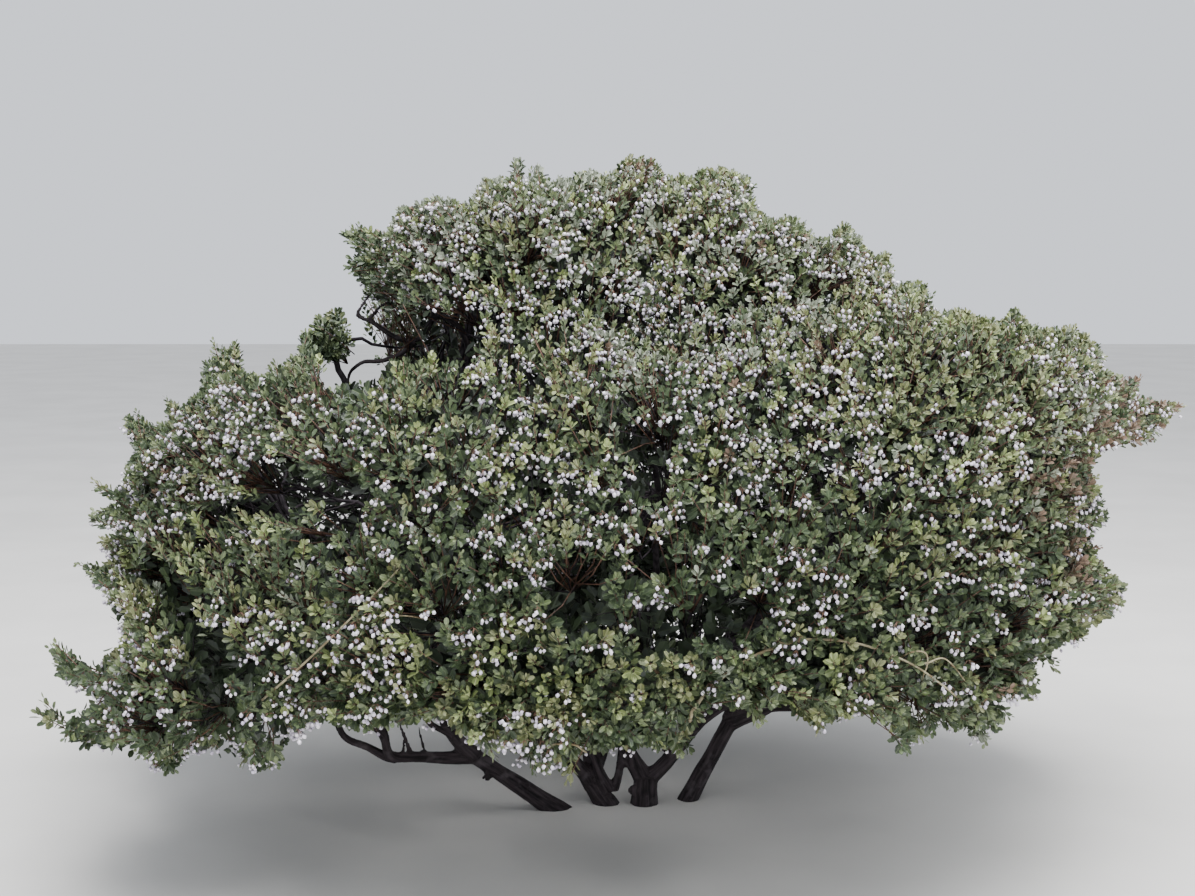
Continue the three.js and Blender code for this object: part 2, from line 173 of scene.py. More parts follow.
def wallsOf(mass, neighbours):  # flat walls halfway to the others, by their sizes
    normals, distances = [], []
    for other in neighbours:
        if other is not mass:
            normal = other.centre - mass.centre
            between = np.linalg.norm(normal)
            normal = normal / between
            mine = mass.ownReach(normal[None])[0]
            theirs = other.ownReach(normal[None])[0]
            normals.append(normal)
            distances.append(between * mine / (mine + theirs) - crown["clearance"])
    mass.wallNormals = np.array(normals)
    mass.wallDistances = np.array(distances)


masses = [m for ring in crown["rings"] for m in ringMasses(ring)]
for singleName, (singleCentre, singleHalf) in crown["singles"].items():
    singleAzimuth = math.atan2(singleCentre[1], singleCentre[0])
    masses.append(Mass(singleName, singleAzimuth, [1, 0, 0], singleCentre, singleHalf))
for eachMass in masses:
    wallsOf(eachMass, masses)
massNamed = {m.name: m for m in masses}


def depthAt(points):
    # 1 on the crown's leafy skin, less inside and more outside, with the masses melting together
    total = np.zeros(len(points))
    for mass in masses:
        offset = points - mass.centre
        distance = np.linalg.norm(offset, axis=1)
        share = distance / mass.ownReach(unit(offset))
        total += np.maximum(share, crown["leastShare"]) ** -crown["softness"]
    return total ** (-1 / crown["softness"])


def skinReach(mass, ways):  # how far from a mass's middle the skin is along unit ways
    search = crown["skinSearch"]
    low = np.full(len(ways), search["from"])
    high = mass.ownReach(ways) * search["to"]
    for _ in range(search["halvings"]):
        middle = (low + high) / 2
        inside = depthAt(mass.centre + ways * middle[:, None]) < 1
        low = np.where(inside, middle, low)
        high = np.where(inside, high, middle)
    return low


def skinNormals(points):
    step = 12.0
    slope = [depthAt(points + step * axis) - depthAt(points - step * axis) for axis in np.eye(3)]
    return unit(np.stack(slope, axis=1))


# The stems and boughs.

limbRule = {
    "stems": [
        {"name": "left", "foot": [-172, -30, 0], "fork": [-316, -62, 110], "thick": 33, "thin": 28},
        {"name": "inner", "foot": [-74, 0, 0], "fork": [-100, 2, 36], "thick": 35, "thin": 32},
        {"name": "main", "foot": [0, 0, 0], "fork": [2, 2, 44], "thick": 43, "thin": 41},
        {"name": "right", "foot": [84, 24, 0], "fork": [164, 34, 152], "thick": 33, "thin": 30},
    ],
    "keeps": {"skirt_6": 0.85},  # how far a bough keeps the way it started, where not as the rest
    "leaders": [  # the stem, the mass it leads to, and the way it leaves the fork
        ("left", "skirt_6", [-1, -0.2, -0.1]), ("left", "shoulder_5", [-0.6, -0.1, 0.75]),
        ("inner", "shoulder_6", [-0.55, -0.25, 0.8]), ("inner", "shoulder_4", [-0.05, 0.35, 0.9]),
        ("inner", "shoulder_3", [0.4, 0.25, 0.85]), ("main", "shoulder_7", [-0.5, -0.15, 0.85]),
        ("main", "shoulder_8", [0.75, -0.15, 0.7]), ("right", "shoulder_1", [0.9, 0.05, 0.3]),
        ("right", "shoulder_2", [0.2, 0.3, 0.9]),
    ],
    "hosts": {
        "cap": "shoulder_7", "apron": "shoulder_7", "clump": "brow_3", "toe": "skirt_6",
        "spur": "shoulder_1",
    },
    "leavesAt": {  # how far along the bough that carries it
        "skirt": 0.34, "brow": 0.54, "cap": 0.4, "clump": 0.5, "toe": 0.55, "apron": 0.3,
        "spur": 0.6,
    },
    "climb": {
        "skirt": 0.1, "brow": 0.5, "cap": 0.8, "clump": 0.2, "toe": 0.1, "apron": 0, "spur": 0.4,
    },
    "flareShare": 0.22, "flareHeight": 28,
    "tipRadius": 6, "tipShare": 0.75, "radiusPerRoot": 8.4, "sideShare": 0.85, "taper": 0.8,
    "swing": 0.035, "turns": 1.1, "weave": 1.7, "leaving": 0.35, "arriving": 0.3,
}


def bezier(a, b, c, d, t):
    return (1 - t) ** 3 * a + 3 * (1 - t) ** 2 * t * b + 3 * (1 - t) * t ** 2 * c + t ** 3 * d


class Limb:
    def __init__(self, start, startWay, keeps, end, endWay, startRadius, tipRadius, phase):
        length = np.linalg.norm(end - start)
        self.hinges = [
            start, start + startWay * keeps * length,
            end - endWay * limbRule["arriving"] * length, end,
        ]
        way = unit(end - start)
        self.across = unit(np.cross(way, upward))
        self.over = np.cross(self.across, way)
        self.swing = length * limbRule["swing"]
        self.phase = phase
        self.startRadius = startRadius
        self.tipRadius = tipRadius

    def points(self, shares):
        t = np.asarray(shares, float)[:, None]
        bend = bezier(*self.hinges, t)
        fade = np.sin(math.pi * t) * self.swing
        turn = 2 * math.pi * limbRule["turns"] * t + self.phase
        sway = self.across * np.cos(turn) + self.over * np.sin(limbRule["weave"] * turn)
        return bend + fade * sway

    def way(self, share):
        step = 1e-3
        before, after = self.points([max(share - step, 0), min(share + step, 1)])
        return unit(after - before)

    def radii(self, shares):
        fade = np.asarray(shares, float) ** limbRule["taper"]
        return self.startRadius + (self.tipRadius - self.startRadius) * fade


class Stem:
    def __init__(self, foot, fork, thick, thin):
        self.foot, self.fork = np.array(foot, float), np.array(fork, float)
        self.thick, self.thin = thick, thin
        self.direction = unit(self.fork - self.foot)

    def points(self, shares):  # from a little below the ground, where it is cut flat
        below = self.foot - self.direction * 2 * self.thick / self.direction[2]
        return below + np.asarray(shares, float)[:, None] * (self.fork - below)

    def radii(self, shares):
        height = self.points(shares)[:, 2]
        share = np.clip(height / self.fork[2], 0, 1)
        fall = np.exp(-np.maximum(height, 0) / limbRule["flareHeight"])
        width = self.thick + (self.thin - self.thick) * share
        return width / 2 * (1 + limbRule["flareShare"] * fall)


def growBough(mass, start, startWay, startRadius, order):
    inward = unit(start - mass.centre)
    end = mass.centre + inward * mass.reach(inward[None])[0]
    tipRadius = min(limbRule["tipRadius"], limbRule["tipShare"] * startRadius)
    keeps = limbRule["keeps"].get(mass.name, limbRule["leaving"])
    mass.bough = Limb(
        start, startWay, keeps, end, -inward, startRadius, tipRadius, goldenAngle * order)
    return mass.bough


def turnBetween(a, b):
    return abs(math.atan2(math.sin(a - b), math.cos(a - b)))


stems = {s["name"]: Stem(s["foot"], s["fork"], s["thick"], s["thin"]) for s in limbRule["stems"]}
led = {massName: (stemName, leaves) for stemName, massName, leaves in limbRule["leaders"]}
ledShoulders = [massNamed[n] for n in led if n.startswith("shoulder")]
hostOf = {
    m.name: min(ledShoulders, key=lambda s, m=m: turnBetween(s.azimuth, m.azimuth)).name
    for m in masses if m.name not in led
}
hostOf.update(limbRule["hosts"])
boughs = []
for ledName, (stemName, leaves) in led.items():
    load = 1 + list(hostOf.values()).count(ledName)
    startRadius = limbRule["radiusPerRoot"] * math.sqrt(load)
    startWay = unit(np.array(leaves))
    boughs.append(growBough(
        massNamed[ledName], stems[stemName].fork, startWay, startRadius, len(boughs)))
for sideName, hostName in hostOf.items():
    sideMass, host = massNamed[sideName], massNamed[hostName].bough
    leavesAt = limbRule["leavesAt"][sideMass.kind]
    start = host.points([leavesAt])[0]
    outward = unit(sideMass.centre - start)
    startWay = unit(outward + limbRule["climb"][sideMass.kind] * upward + host.way(leavesAt))
    startRadius = min(limbRule["radiusPerRoot"], limbRule["sideShare"] * host.radii([leavesAt])[0])
    boughs.append(growBough(sideMass, start, startWay, startRadius, len(boughs)))
report("rule", len(masses), "masses", len(boughs), "boughs")


# Noise that is the same each run, for relief and for uneven outlines.

noiseTable = np.random.default_rng(5).random(4096)


def smoothNoise(points, grain):  # 0 to 1, changing over about one grain
    scaled = np.asarray(points, float) / grain
    cell = np.floor(scaled).astype(np.int64)
    part = scaled - cell
    part = part * part * (3 - 2 * part)
    total = np.zeros(len(scaled))
    for corner in range(8):
        offset = np.array([corner & 1, (corner >> 1) & 1, (corner >> 2) & 1])
        place = (cell + offset) @ np.array([73856093, 19349663, 83492791])
        weight = np.where(offset == 1, part, 1 - part).prod(axis=1)
        total += weight * noiseTable[(place ^ (place >> 13)) % 4096]
    return total


# Tubes along paths, many at a time.

pathBend = {"leaving": 0.38, "arriving": 0.34}


def bentPaths(starts, startWays, ends, endWays, count, crook=0.0):
    length = np.linalg.norm(ends - starts, axis=1, keepdims=True)
    leaving = starts + startWays * length * pathBend["leaving"]
    arriving = ends - endWays * length * pathBend["arriving"]
    t = np.linspace(0, 1, count)[None, :, None]
    paths = bezier(*(v[:, None, :] for v in (starts, leaving, arriving, ends)), t)
    sway = random.normal(size=paths.shape) * length[:, None] * crook
    sway[:, 0] = 0
    sway[:, -1] = 0
    return paths + sway


def tubeArrays(paths, radii, sides):
    many, rings, _ = paths.shape
    level = np.cross(paths[:, -1] - paths[:, 0], upward)
    level = np.where(np.linalg.norm(level, axis=1, keepdims=True) > 1e-6, level, [[1.0, 0.0, 0.0]])
    ways = unit(np.gradient(paths, axis=1))
    over = unit(np.cross(level[:, None, :], ways))
    across = np.cross(ways, over)
    turn = np.arange(sides) * 2 * math.pi / sides
    ring = across[:, :, None] * np.cos(turn)[:, None] + over[:, :, None] * np.sin(turn)[:, None]
    points = (paths[:, :, None] + ring * radii[:, :, None, None]).reshape(-1, 3)
    base = (np.arange(many) * rings * sides)[:, None, None]
    ringStart = base + (np.arange(rings - 1) * sides)[None, :, None]
    lower = ringStart + np.arange(sides)
    nextSide = ringStart + (np.arange(sides) + 1) % sides
    walls = np.stack([lower, nextSide, nextSide + sides, lower + sides], axis=-1).reshape(-1, 4)
    feet = base[:, 0] + np.arange(sides)[::-1]
    tips = base[:, 0] + (rings - 1) * sides + np.arange(sides)
    return points, [walls, feet, tips]


def meshFrom(name, points, faceSets, smooth=True):
    mesh = bpy.data.meshes.new(name)
    corners = np.concatenate([f.ravel() for f in faceSets])
    counts = np.concatenate([np.full(len(f), f.shape[1]) for f in faceSets])
    mesh.vertices.add(len(points))
    mesh.vertices.foreach_set("co", (np.asarray(points) * millimetre).ravel())
    mesh.loops.add(len(corners))
    mesh.loops.foreach_set("vertex_index", corners.astype(np.int32))
    mesh.polygons.add(len(counts))
    mesh.polygons.foreach_set("loop_start", (np.cumsum(counts) - counts).astype(np.int32))
    mesh.polygons.foreach_set("use_smooth", np.full(len(counts), smooth))
    mesh.update(calc_edges=True)
    mesh.validate()
    piece = bpy.data.objects.new(name, mesh)
    bpy.context.scene.collection.objects.link(piece)
    return piece


def joinArrays(parts):
    points, faceSets, start = [], [], 0
    for partPoints, partFaces in parts:
        points.append(partPoints)
        faceSets += [f + start for f in partFaces]
        start += len(partPoints)
    return np.concatenate(points), faceSets


def settled(piece):  # the piece with its modifiers worked into one plain mesh
    graph = bpy.context.evaluated_depsgraph_get()
    mesh = bpy.data.meshes.new_from_object(piece.evaluated_get(graph))
    old = piece.data
    piece.modifiers.clear()
    piece.data = mesh
    mesh.name = piece.name
    if old.users == 0:
        bpy.data.meshes.remove(old)
    return piece


# Materials.

def linearColour(hexColour):
    parts = [((hexColour >> shift) & 255) / 255 for shift in (16, 8, 0)]
    return [p / 12.92 if p <= 0.04045 else ((p + 0.055) / 1.055) ** 2.4 for p in parts] + [1.0]


def addNode(tree, kind, values=None, **settings):
    node = tree.nodes.new(kind)
    for key, value in settings.items():
        setattr(node, key, value)
    for key, value in (values or {}).items():
        if isinstance(value, bpy.types.NodeSocket):
            tree.links.new(value, node.inputs[key])
        else:
            node.inputs[key].default_value = value
    return node


def newMaterial(name, roughness, specular):
    material = bpy.data.materials.new(name)
    material.use_nodes = True
    tree = material.node_tree
    shader = tree.nodes["Principled BSDF"]
    shader.inputs["Roughness"].default_value = roughness
    shader.inputs["Specular IOR Level"].default_value = specular
    return material, tree, shader


mapRange = "ShaderNodeMapRange"  # sockets 0 value, 1 and 2 from, 3 and 4 to
colourMix = "ShaderNodeMix"  # sockets 0 share, 6 and 7 colours, and output 2 the mixed colour


# Manzanita leaf: thick and waxy, dull green, with a paler midrib and a faint sheen of the sky.
leafTones = {
    "deep": {"blade": 0x425136, "shade": 0x30392F, "rib": 0x687652},
    "mid": {"blade": 0x5D6B42, "shade": 0x4A5343, "rib": 0x88926C},
    "olive": {"blade": 0x7A8050, "shade": 0x5E6448, "rib": 0xA2A57E},
    "young": {"blade": 0x8D9A5E, "shade": 0x6C784C, "rib": 0xB4BC8C},
    "grey": {"blade": 0x878D7C, "shade": 0x69705E, "rib": 0xAAB0A0},
    "rust": {"blade": 0x7A6556, "shade": 0x5C5040, "rib": 0x927A68},
    # painted shade: a near-black green for the leaves deep in the crown, darker than any leaf,
    # standing in for the shade there
    "shaded": {"blade": 0x3C443C, "shade": 0x292E2A, "rib": 0x3E4634},
}
leafFinish = {
    "roughness": 0.44, "specular": 0.45, "mottle": 15.0, "fine": 4.0, "fineLift": 0.25,
    "ribEdge": [0.02, 0.09], "ribShare": 0.7, "oldShare": 0.7, "freshShare": 0.6,
}


def leafMaterial(tone):
    blade, shade, paler = (linearColour(leafTones[tone][k]) for k in ("blade", "shade", "rib"))
    material, tree, shader = newMaterial(
        f"waxy manzanita leaf {tone}", leafFinish["roughness"], leafFinish["specular"])
    place = addNode(tree, "ShaderNodeTexCoord")
    mottle = addNode(tree, "ShaderNodeTexNoise", {
        "Vector": place.outputs["Object"], "Scale": 1000 / leafFinish["mottle"], "Detail": 1.0})
    spread = addNode(tree, mapRange, {0: mottle.outputs["Fac"], 1: 0.35, 2: 0.65}, clamp=True)
    mottled = addNode(tree, colourMix, {0: spread.outputs[0], 6: shade, 7: blade}, data_type="RGBA")
    onLeaf = addNode(tree, "ShaderNodeUVMap", uv_map="leaf")
    split = addNode(tree, "ShaderNodeSeparateXYZ", {0: onLeaf.outputs[0]})
    fromRib = addNode(tree, "ShaderNodeMath", {0: split.outputs["X"], 1: 0.5}, operation="SUBTRACT")
    offset = addNode(tree, "ShaderNodeMath", {0: fromRib.outputs[0]}, operation="ABSOLUTE")
    ribFrom, ribTo = leafFinish["ribEdge"]
    rib = addNode(tree, mapRange, {
        0: offset.outputs[0], 1: ribFrom, 2: ribTo, 3: leafFinish["ribShare"], 4: 0.0})
    ribbed = addNode(tree, colourMix, {
        0: rib.outputs[0], 6: mottled.outputs[2], 7: paler}, data_type="RGBA")
    youth = addNode(tree, "ShaderNodeAttribute", attribute_name="youth")
    old = addNode(tree, mapRange, {
        0: youth.outputs["Fac"], 1: 0.1, 2: 0.5, 3: leafFinish["oldShare"], 4: 0.0})
    aged = addNode(tree, colourMix, {
        0: old.outputs[0], 6: ribbed.outputs[2], 7: linearColour(leafTones["deep"]["blade"])},
        data_type="RGBA")
    fresh = addNode(tree, mapRange, {
        0: youth.outputs["Fac"], 1: 0.6, 2: 1.0, 4: leafFinish["freshShare"]})
    tipped = addNode(tree, colourMix, {
        0: fresh.outputs[0], 6: aged.outputs[2], 7: paler}, data_type="RGBA")
    tree.links.new(tipped.outputs[2], shader.inputs["Base Color"])
    fine = addNode(tree, "ShaderNodeTexNoise", {
        "Vector": place.outputs["Object"], "Scale": 1000 / leafFinish["fine"], "Detail": 2.0})
    bump = addNode(tree, "ShaderNodeBump", {
        "Height": fine.outputs["Fac"], "Strength": leafFinish["fineLift"], "Distance": millimetre})
    tree.links.new(bump.outputs["Normal"], shader.inputs["Normal"])
    return material


# Old manzanita bark, shredding in long dark strips: near black with purple-grey ridges.
barkFinish = {
    "furrow": 0x171315, "ridge": 0x423A3D, "lichen": 0x5A5356, "strip": 7.0, "stretch": 0.12,
    "patches": 38.0,  # of lichen to a metre
    "lichenShare": 0.6, "lift": 0.7, "liftDepth": 3.0, "roughness": 0.82, "specular": 0.25,
}


def barkMaterial():
    material, tree, shader = newMaterial(
        "shredding manzanita bark", barkFinish["roughness"], barkFinish["specular"])
    grain = addNode(tree, "ShaderNodeAttribute", attribute_name="grain")
    along = addNode(tree, "ShaderNodeMapping", {"Vector": grain.outputs["Vector"]})
    along.inputs["Scale"].default_value = [1, 1, barkFinish["stretch"]]
    strips = addNode(tree, "ShaderNodeTexNoise", {
        "Vector": along.outputs[0], "Scale": 1000 / barkFinish["strip"], "Detail": 5.0,
        "Roughness": 0.6})
    ramp = addNode(tree, mapRange, {0: strips.outputs["Fac"], 1: 0.36, 2: 0.64})
    ridged = addNode(tree, colourMix, {
        0: ramp.outputs[0], 6: linearColour(barkFinish["furrow"]),
        7: linearColour(barkFinish["ridge"])}, data_type="RGBA")
    place = addNode(tree, "ShaderNodeTexCoord")
    blotch = addNode(tree, "ShaderNodeTexNoise", {
        "Vector": place.outputs["Object"], "Scale": barkFinish["patches"], "Detail": 3.0})
    patch = addNode(tree, mapRange, {
        0: blotch.outputs["Fac"], 1: 0.56, 2: 0.72, 4: barkFinish["lichenShare"]})
    base = addNode(tree, colourMix, {
        0: patch.outputs[0], 6: ridged.outputs[2], 7: linearColour(barkFinish["lichen"])},
        data_type="RGBA")
    tree.links.new(base.outputs[2], shader.inputs["Base Color"])
    bump = addNode(tree, "ShaderNodeBump", {
        "Height": strips.outputs["Fac"], "Strength": barkFinish["lift"],
        "Distance": barkFinish["liftDepth"] * millimetre})
    tree.links.new(bump.outputs["Normal"], shader.inputs["Normal"])
    return material


def plainMaterial(name, light, dark, grain, roughness, specular):
    material, tree, shader = newMaterial(name, roughness, specular)
    place = addNode(tree, "ShaderNodeTexCoord")
    spots = addNode(tree, "ShaderNodeTexNoise", {
        "Vector": place.outputs["Object"], "Scale": 1000 / grain, "Detail": 3.0})
    spread = addNode(tree, mapRange, {0: spots.outputs["Fac"], 1: 0.35, 2: 0.65})
    mottled = addNode(tree, colourMix, {
        0: spread.outputs[0], 6: linearColour(dark), 7: linearColour(light)}, data_type="RGBA")
    tree.links.new(mottled.outputs[2], shader.inputs["Base Color"])
    return material


# The bark of stems and boughs: tubes fused into one skin, then furrowed along the grain.

barkRule = {
    "voxel": 3.8, "easeSteps": 2, "boughSides": 12, "stemSides": 28, "thinSides": 9,
    "ringStep": 7.0, "leastRings": 6, "stubRings": 6, "collar": 0.28, "collarReach": 1.6,
    "tipStep": 0.45, "tipWidth": 0.55,  # a stem's rounded end, as shares of its radius
    "strip": 9.0, "stripStretch": 9.0, "stripDepth": 0.13, "lump": 45.0, "lumpDepth": 0.16,
    "stripLevel": 0.6, "fineness": 2.2, "fineDepth": 0.05,
    "reliefRadii": [4, 24],  # relief grows with the limb's radius only between these
    "traceSteps": 90,
    "phaseStep": 130.0, "shownPhase": 5000, "nearLimbs": 6,
    "lowKeeps": 0.4, "lowRise": 40, "lowPhase": 9,
    "lowLimbs": [  # lesser limbs under the hem: the bough, how far along, way, end, two radii
        ("skirt_6", 0.36, [-1, -0.1, 0.1], [-600, -150, 250], 9, 5),
        ("shoulder_5", 0.12, [-0.6, -0.5, 0.5], [-470, -190, 330], 7, 4),
        ("shoulder_1", 0.08, [1, -0.4, 0.25], [400, -150, 280], 9, 5),
        ("shoulder_3", 0.05, [0.3, -0.4, 0.9], [-20, -90, 330], 7, 4),
        ("shoulder_8", 0.2, [0.2, -0.5, 0.8], [120, -200, 330], 7, 4),
    ],
    "shown": [  # limbs that show in the gaps at the upper left: (x, z) as seen, depth and two radii
        ([(-368, 704), (-346, 755), (-330, 800), (-326, 860), (-350, 905), (-385, 915),
          (-404, 887), (-428, 862), (-456, 844), (-487, 834), (-515, 833), (-533, 823),
          (-544, 809), (-548, 780)], 6, 7.5, 3.6),
        ([(-391, 905), (-391, 928), (-398, 946), (-403, 960), (-416, 985)], 4, 4, 2.4),
        ([(-420, 868), (-450, 875), (-472, 886), (-501, 906), (-519, 913), (-528, 920),
          (-511, 946), (-496, 969), (-480, 1000)], 0, 6.5, 2.6),
        ([(-508, 909), (-501, 915), (-486, 933), (-467, 944), (-440, 960), (-420, 985)],
         0, 4.5, 2.6),
        ([(-368, 704), (-366, 745), (-356, 781), (-323, 785), (-301, 796), (-270, 820)],
         -40, 5, 2.6),
        ([(-690, 790), (-652, 822), (-634, 833), (-611, 847), (-590, 856)], -20, 3.4, 2),
        ([(-66, 22), (-84, 58), (-94, 87), (-103, 108), (-110, 150)], -8, 12, 7),
        ([(-58, 24), (-51, 48), (-47, 72), (-45, 95), (-40, 140)], -4, 9, 6),
    ],
    "stubs": [  # of lost limbs: the limb, how far along it, which way, its length and two radii
        ("stem left", 0.90, [0.05, -0.35, -0.95], 16, 9, 5.5),
        ("stem main", 0.78, [-0.8, -0.45, 0.45], 14, 10, 7.5),
        ("stem left", 0.62, [0.5, -0.8, 0.5], 12, 6, 4),
        ("stem right", 0.16, [0.9, -0.4, 0.2], 6, 7, 5),
        ("stem left", 0.86, [-0.4, -0.8, -0.3], 22, 5, 4),
        ("skirt_6", 0.17, [-0.2, -0.1, 0.95], 52, 4.5, 2.2),
        ("skirt_6", 0.24, [-0.35, 0.1, 0.9], 60, 5, 2.4),
        ("skirt_6", 0.30, [0.1, -0.3, 0.9], 48, 4.5, 2.2),
        ("shoulder_8", 0.10, [-0.5, -0.7, 0.5], 26, 5, 3.5),
    ],
}


def runAlong(line):  # the length of a line up to each of its points
    return np.append(0, np.cumsum(np.linalg.norm(np.diff(line, axis=0), axis=1)))


def oneTube(line, thick, thin, sides):
    return tubeArrays(line[None], np.linspace(thick, thin, len(line))[None], sides)


def limbTube(limb, sides, hasTip):
    length = np.linalg.norm(np.diff(limb.points(np.linspace(0, 1, 40)), axis=0), axis=1).sum()
    count = max(barkRule["leastRings"], int(length / barkRule["ringStep"]))
    shares = np.linspace(0, 1, count)
    points, radii = limb.points(shares), limb.radii(shares)
    if isinstance(limb, Limb):
        fall = np.exp(-shares * length / (barkRule["collarReach"] * radii[0]))
        radii = radii * (1 + barkRule["collar"] * fall)
    if hasTip:
        tip = points[-1] + limb.direction * barkRule["tipStep"] * radii[-1]
        points = np.vstack([points, tip])
        radii = np.append(radii, barkRule["tipWidth"] * radii[-1])
    return tubeArrays(points[None], radii[None], sides)


def lowLimb(boughName, share, way, end, thick, thin):
    start = massNamed[boughName].bough.points([share])[0]
    end = np.array(end, float)
    endWay = unit(end - start + barkRule["lowRise"] * upward)
    return Limb(start, unit(np.array(way)), barkRule["lowKeeps"], end, endWay, thick, thin,
                share * barkRule["lowPhase"])


def seen(points):  # where points show on the upright plane through the middle
    eye = np.array(view["eye"], float)
    far = -eye[1] / (points[:, 1] - eye[1])
    return (eye + (points - eye) * far[:, None])[:, [0, 2]]


def onPlane(flat):  # places on that plane as points
    return np.stack([flat[:, 0], np.zeros(len(flat)), flat[:, 1]], axis=1)


def unseen(flat, depths):  # the point at a depth that shows at a place of that plane
    eye = np.array(view["eye"], float)
    return eye + (onPlane(flat) - eye) * ((depths - eye[1]) / -eye[1])[:, None]


def treeOf(points):
    tree = KDTree(len(points))
    for i, point in enumerate(points):
        tree.insert(point, i)
    tree.balance()
    return tree


def smoothLine(corners, count):  # a curve through corners
    corners = np.array(corners, float)
    padded = np.vstack([2 * corners[0] - corners[1], corners, 2 * corners[-1] - corners[-2]])
    steps = np.linspace(0, len(corners) - 1 - 1e-6, count)
    i, t = steps.astype(int), (steps % 1)[:, None]
    a, b, c, d = (padded[i + k] for k in range(4))
    second, third = 2 * a - 5 * b + 4 * c - d, 3 * b - a - 3 * c + d
    return 0.5 * (2 * b + (c - a) * t + second * t ** 2 + third * t ** 3)


def shownLimb(corners, depth, thick, thin):
    line = smoothLine(corners, 6 * len(corners))
    return unseen(line, np.full(len(line), float(depth))), (thick, thin)


lowLimbs = [lowLimb(*row) for row in barkRule["lowLimbs"]]
shownLimbs = [shownLimb(*row) for row in barkRule["shown"]]


def buildBark(material):
    parts = [limbTube(stem, barkRule["stemSides"], True) for stem in stems.values()]
    parts += [limbTube(bough, barkRule["boughSides"], False) for bough in boughs]
    parts += [limbTube(limb, barkRule["boughSides"], False) for limb in lowLimbs]
    for line, (thick, thin) in shownLimbs:
        parts.append(oneTube(line, thick, thin, barkRule["thinSides"]))
    for limbName, share, way, length, thick, thin in barkRule["stubs"]:
        kind, _, stemName = limbName.partition(" ")
        limb = stems[stemName] if stemName else massNamed[kind].bough
        start = limb.points([share])[0]
        steps = np.linspace(0, length + limb.radii([share])[0], barkRule["stubRings"])
        path = start + unit(np.array(way)) * steps[:, None]
        parts.append(oneTube(path, thick, thin, barkRule["thinSides"]))
    piece = meshFrom("bark", *joinArrays(parts))
    fuse = piece.modifiers.new("fuse", "REMESH")
    fuse.mode = "VOXEL"
    fuse.voxel_size = barkRule["voxel"] * millimetre
    ease = piece.modifiers.new("ease", "SMOOTH")
    ease.iterations = barkRule["easeSteps"]
    settled(piece)
    furrow(piece)
    body = bmesh.new()
    body.from_mesh(piece.data)
    cut = bmesh.ops.bisect_plane(body, geom=body.verts[:] + body.edges[:] + body.faces[:],
                                 plane_co=(0, 0, 0), plane_no=(0, 0, -1), clear_outer=True)
    rims = [e for e in cut["geom_cut"] if isinstance(e, bmesh.types.BMEdge)]
    bmesh.ops.holes_fill(body, edges=rims)
    for face in body.faces:
        face.smooth = True
    body.to_mesh(piece.data)
    body.free()
    piece.data.materials.append(material)
    return piece


def vertexValues(mesh, key):
    values = np.zeros(len(mesh.vertices) * 3)
    mesh.vertices.foreach_get(key, values)
    return values.reshape(-1, 3)


def furrow(piece):
    mesh = piece.data
    points, normals = vertexValues(mesh, "co") / millimetre, vertexValues(mesh, "normal")
    shares = np.linspace(0, 1, barkRule["traceSteps"])
    traces = [
        (limb.points(shares), limb.radii(shares), order * barkRule["phaseStep"])
        for order, limb in enumerate([*stems.values(), *boughs, *lowLimbs])]
    traces += [
        (line, np.linspace(*ends, len(line)),
         barkRule["shownPhase"] + order * barkRule["phaseStep"])
        for order, (line, ends) in enumerate(shownLimbs)]
    middles, radii = (np.concatenate([trace[k] for trace in traces]) for k in range(2))
    ways = np.concatenate([unit(np.gradient(line, axis=0)) for line, _, _ in traces])
    runs = np.concatenate([runAlong(line) for line, _, _ in traces])
    phases = np.concatenate([np.full(len(line), phase) for line, _, phase in traces])
    tree = treeOf(middles)
    near = np.array([
        min((d - radii[i], i) for _, i, d in tree.find_n(Vector(p), barkRule["nearLimbs"]))[1]
        for p in points])
    way, phase = ways[near], phases[near][:, None]
    radial = points - middles[near]
    along = (radial * way).sum(axis=1)
    spoke = unit(radial - way * along[:, None])
    run = runs[near] + along
    size = np.clip(radii[near], *barkRule["reliefRadii"])
    stretched = spoke * size[:, None] + way * (run / barkRule["stripStretch"])[:, None]
    strips = 1 - np.abs(2 * smoothNoise(stretched + phase, barkRule["strip"]) - 1)
    fine = smoothNoise(stretched * barkRule["fineness"] + 31, barkRule["strip"])
    lumps = smoothNoise(points, barkRule["lump"])
    lift = (strips - barkRule["stripLevel"]) * barkRule["stripDepth"]
    lift = lift + (fine - 0.5) * barkRule["fineDepth"] + (lumps - 0.5) * barkRule["lumpDepth"]
    moved = points + normals * (lift * size)[:, None]
    mesh.vertices.foreach_set("co", (moved * millimetre).ravel())
    across = unit(np.cross(way, upward))
    over = np.cross(across, way)
    around = [(spoke * across).sum(axis=1) * size, (spoke * over).sum(axis=1) * size, run]
    layer = mesh.attributes.new("grain", "FLOAT_VECTOR", "POINT")
    layer.data.foreach_set("vector", ((np.stack(around, axis=1) + phase) * millimetre).ravel())
    mesh.update()


bark = buildBark(barkMaterial())
report("bark", len(bark.data.polygons), "faces")


# The crown as the photograph shows it: (x, z) on the upright plane through the middle,
# as seen from the eye, so that a nearer or further shoot can be held against it.

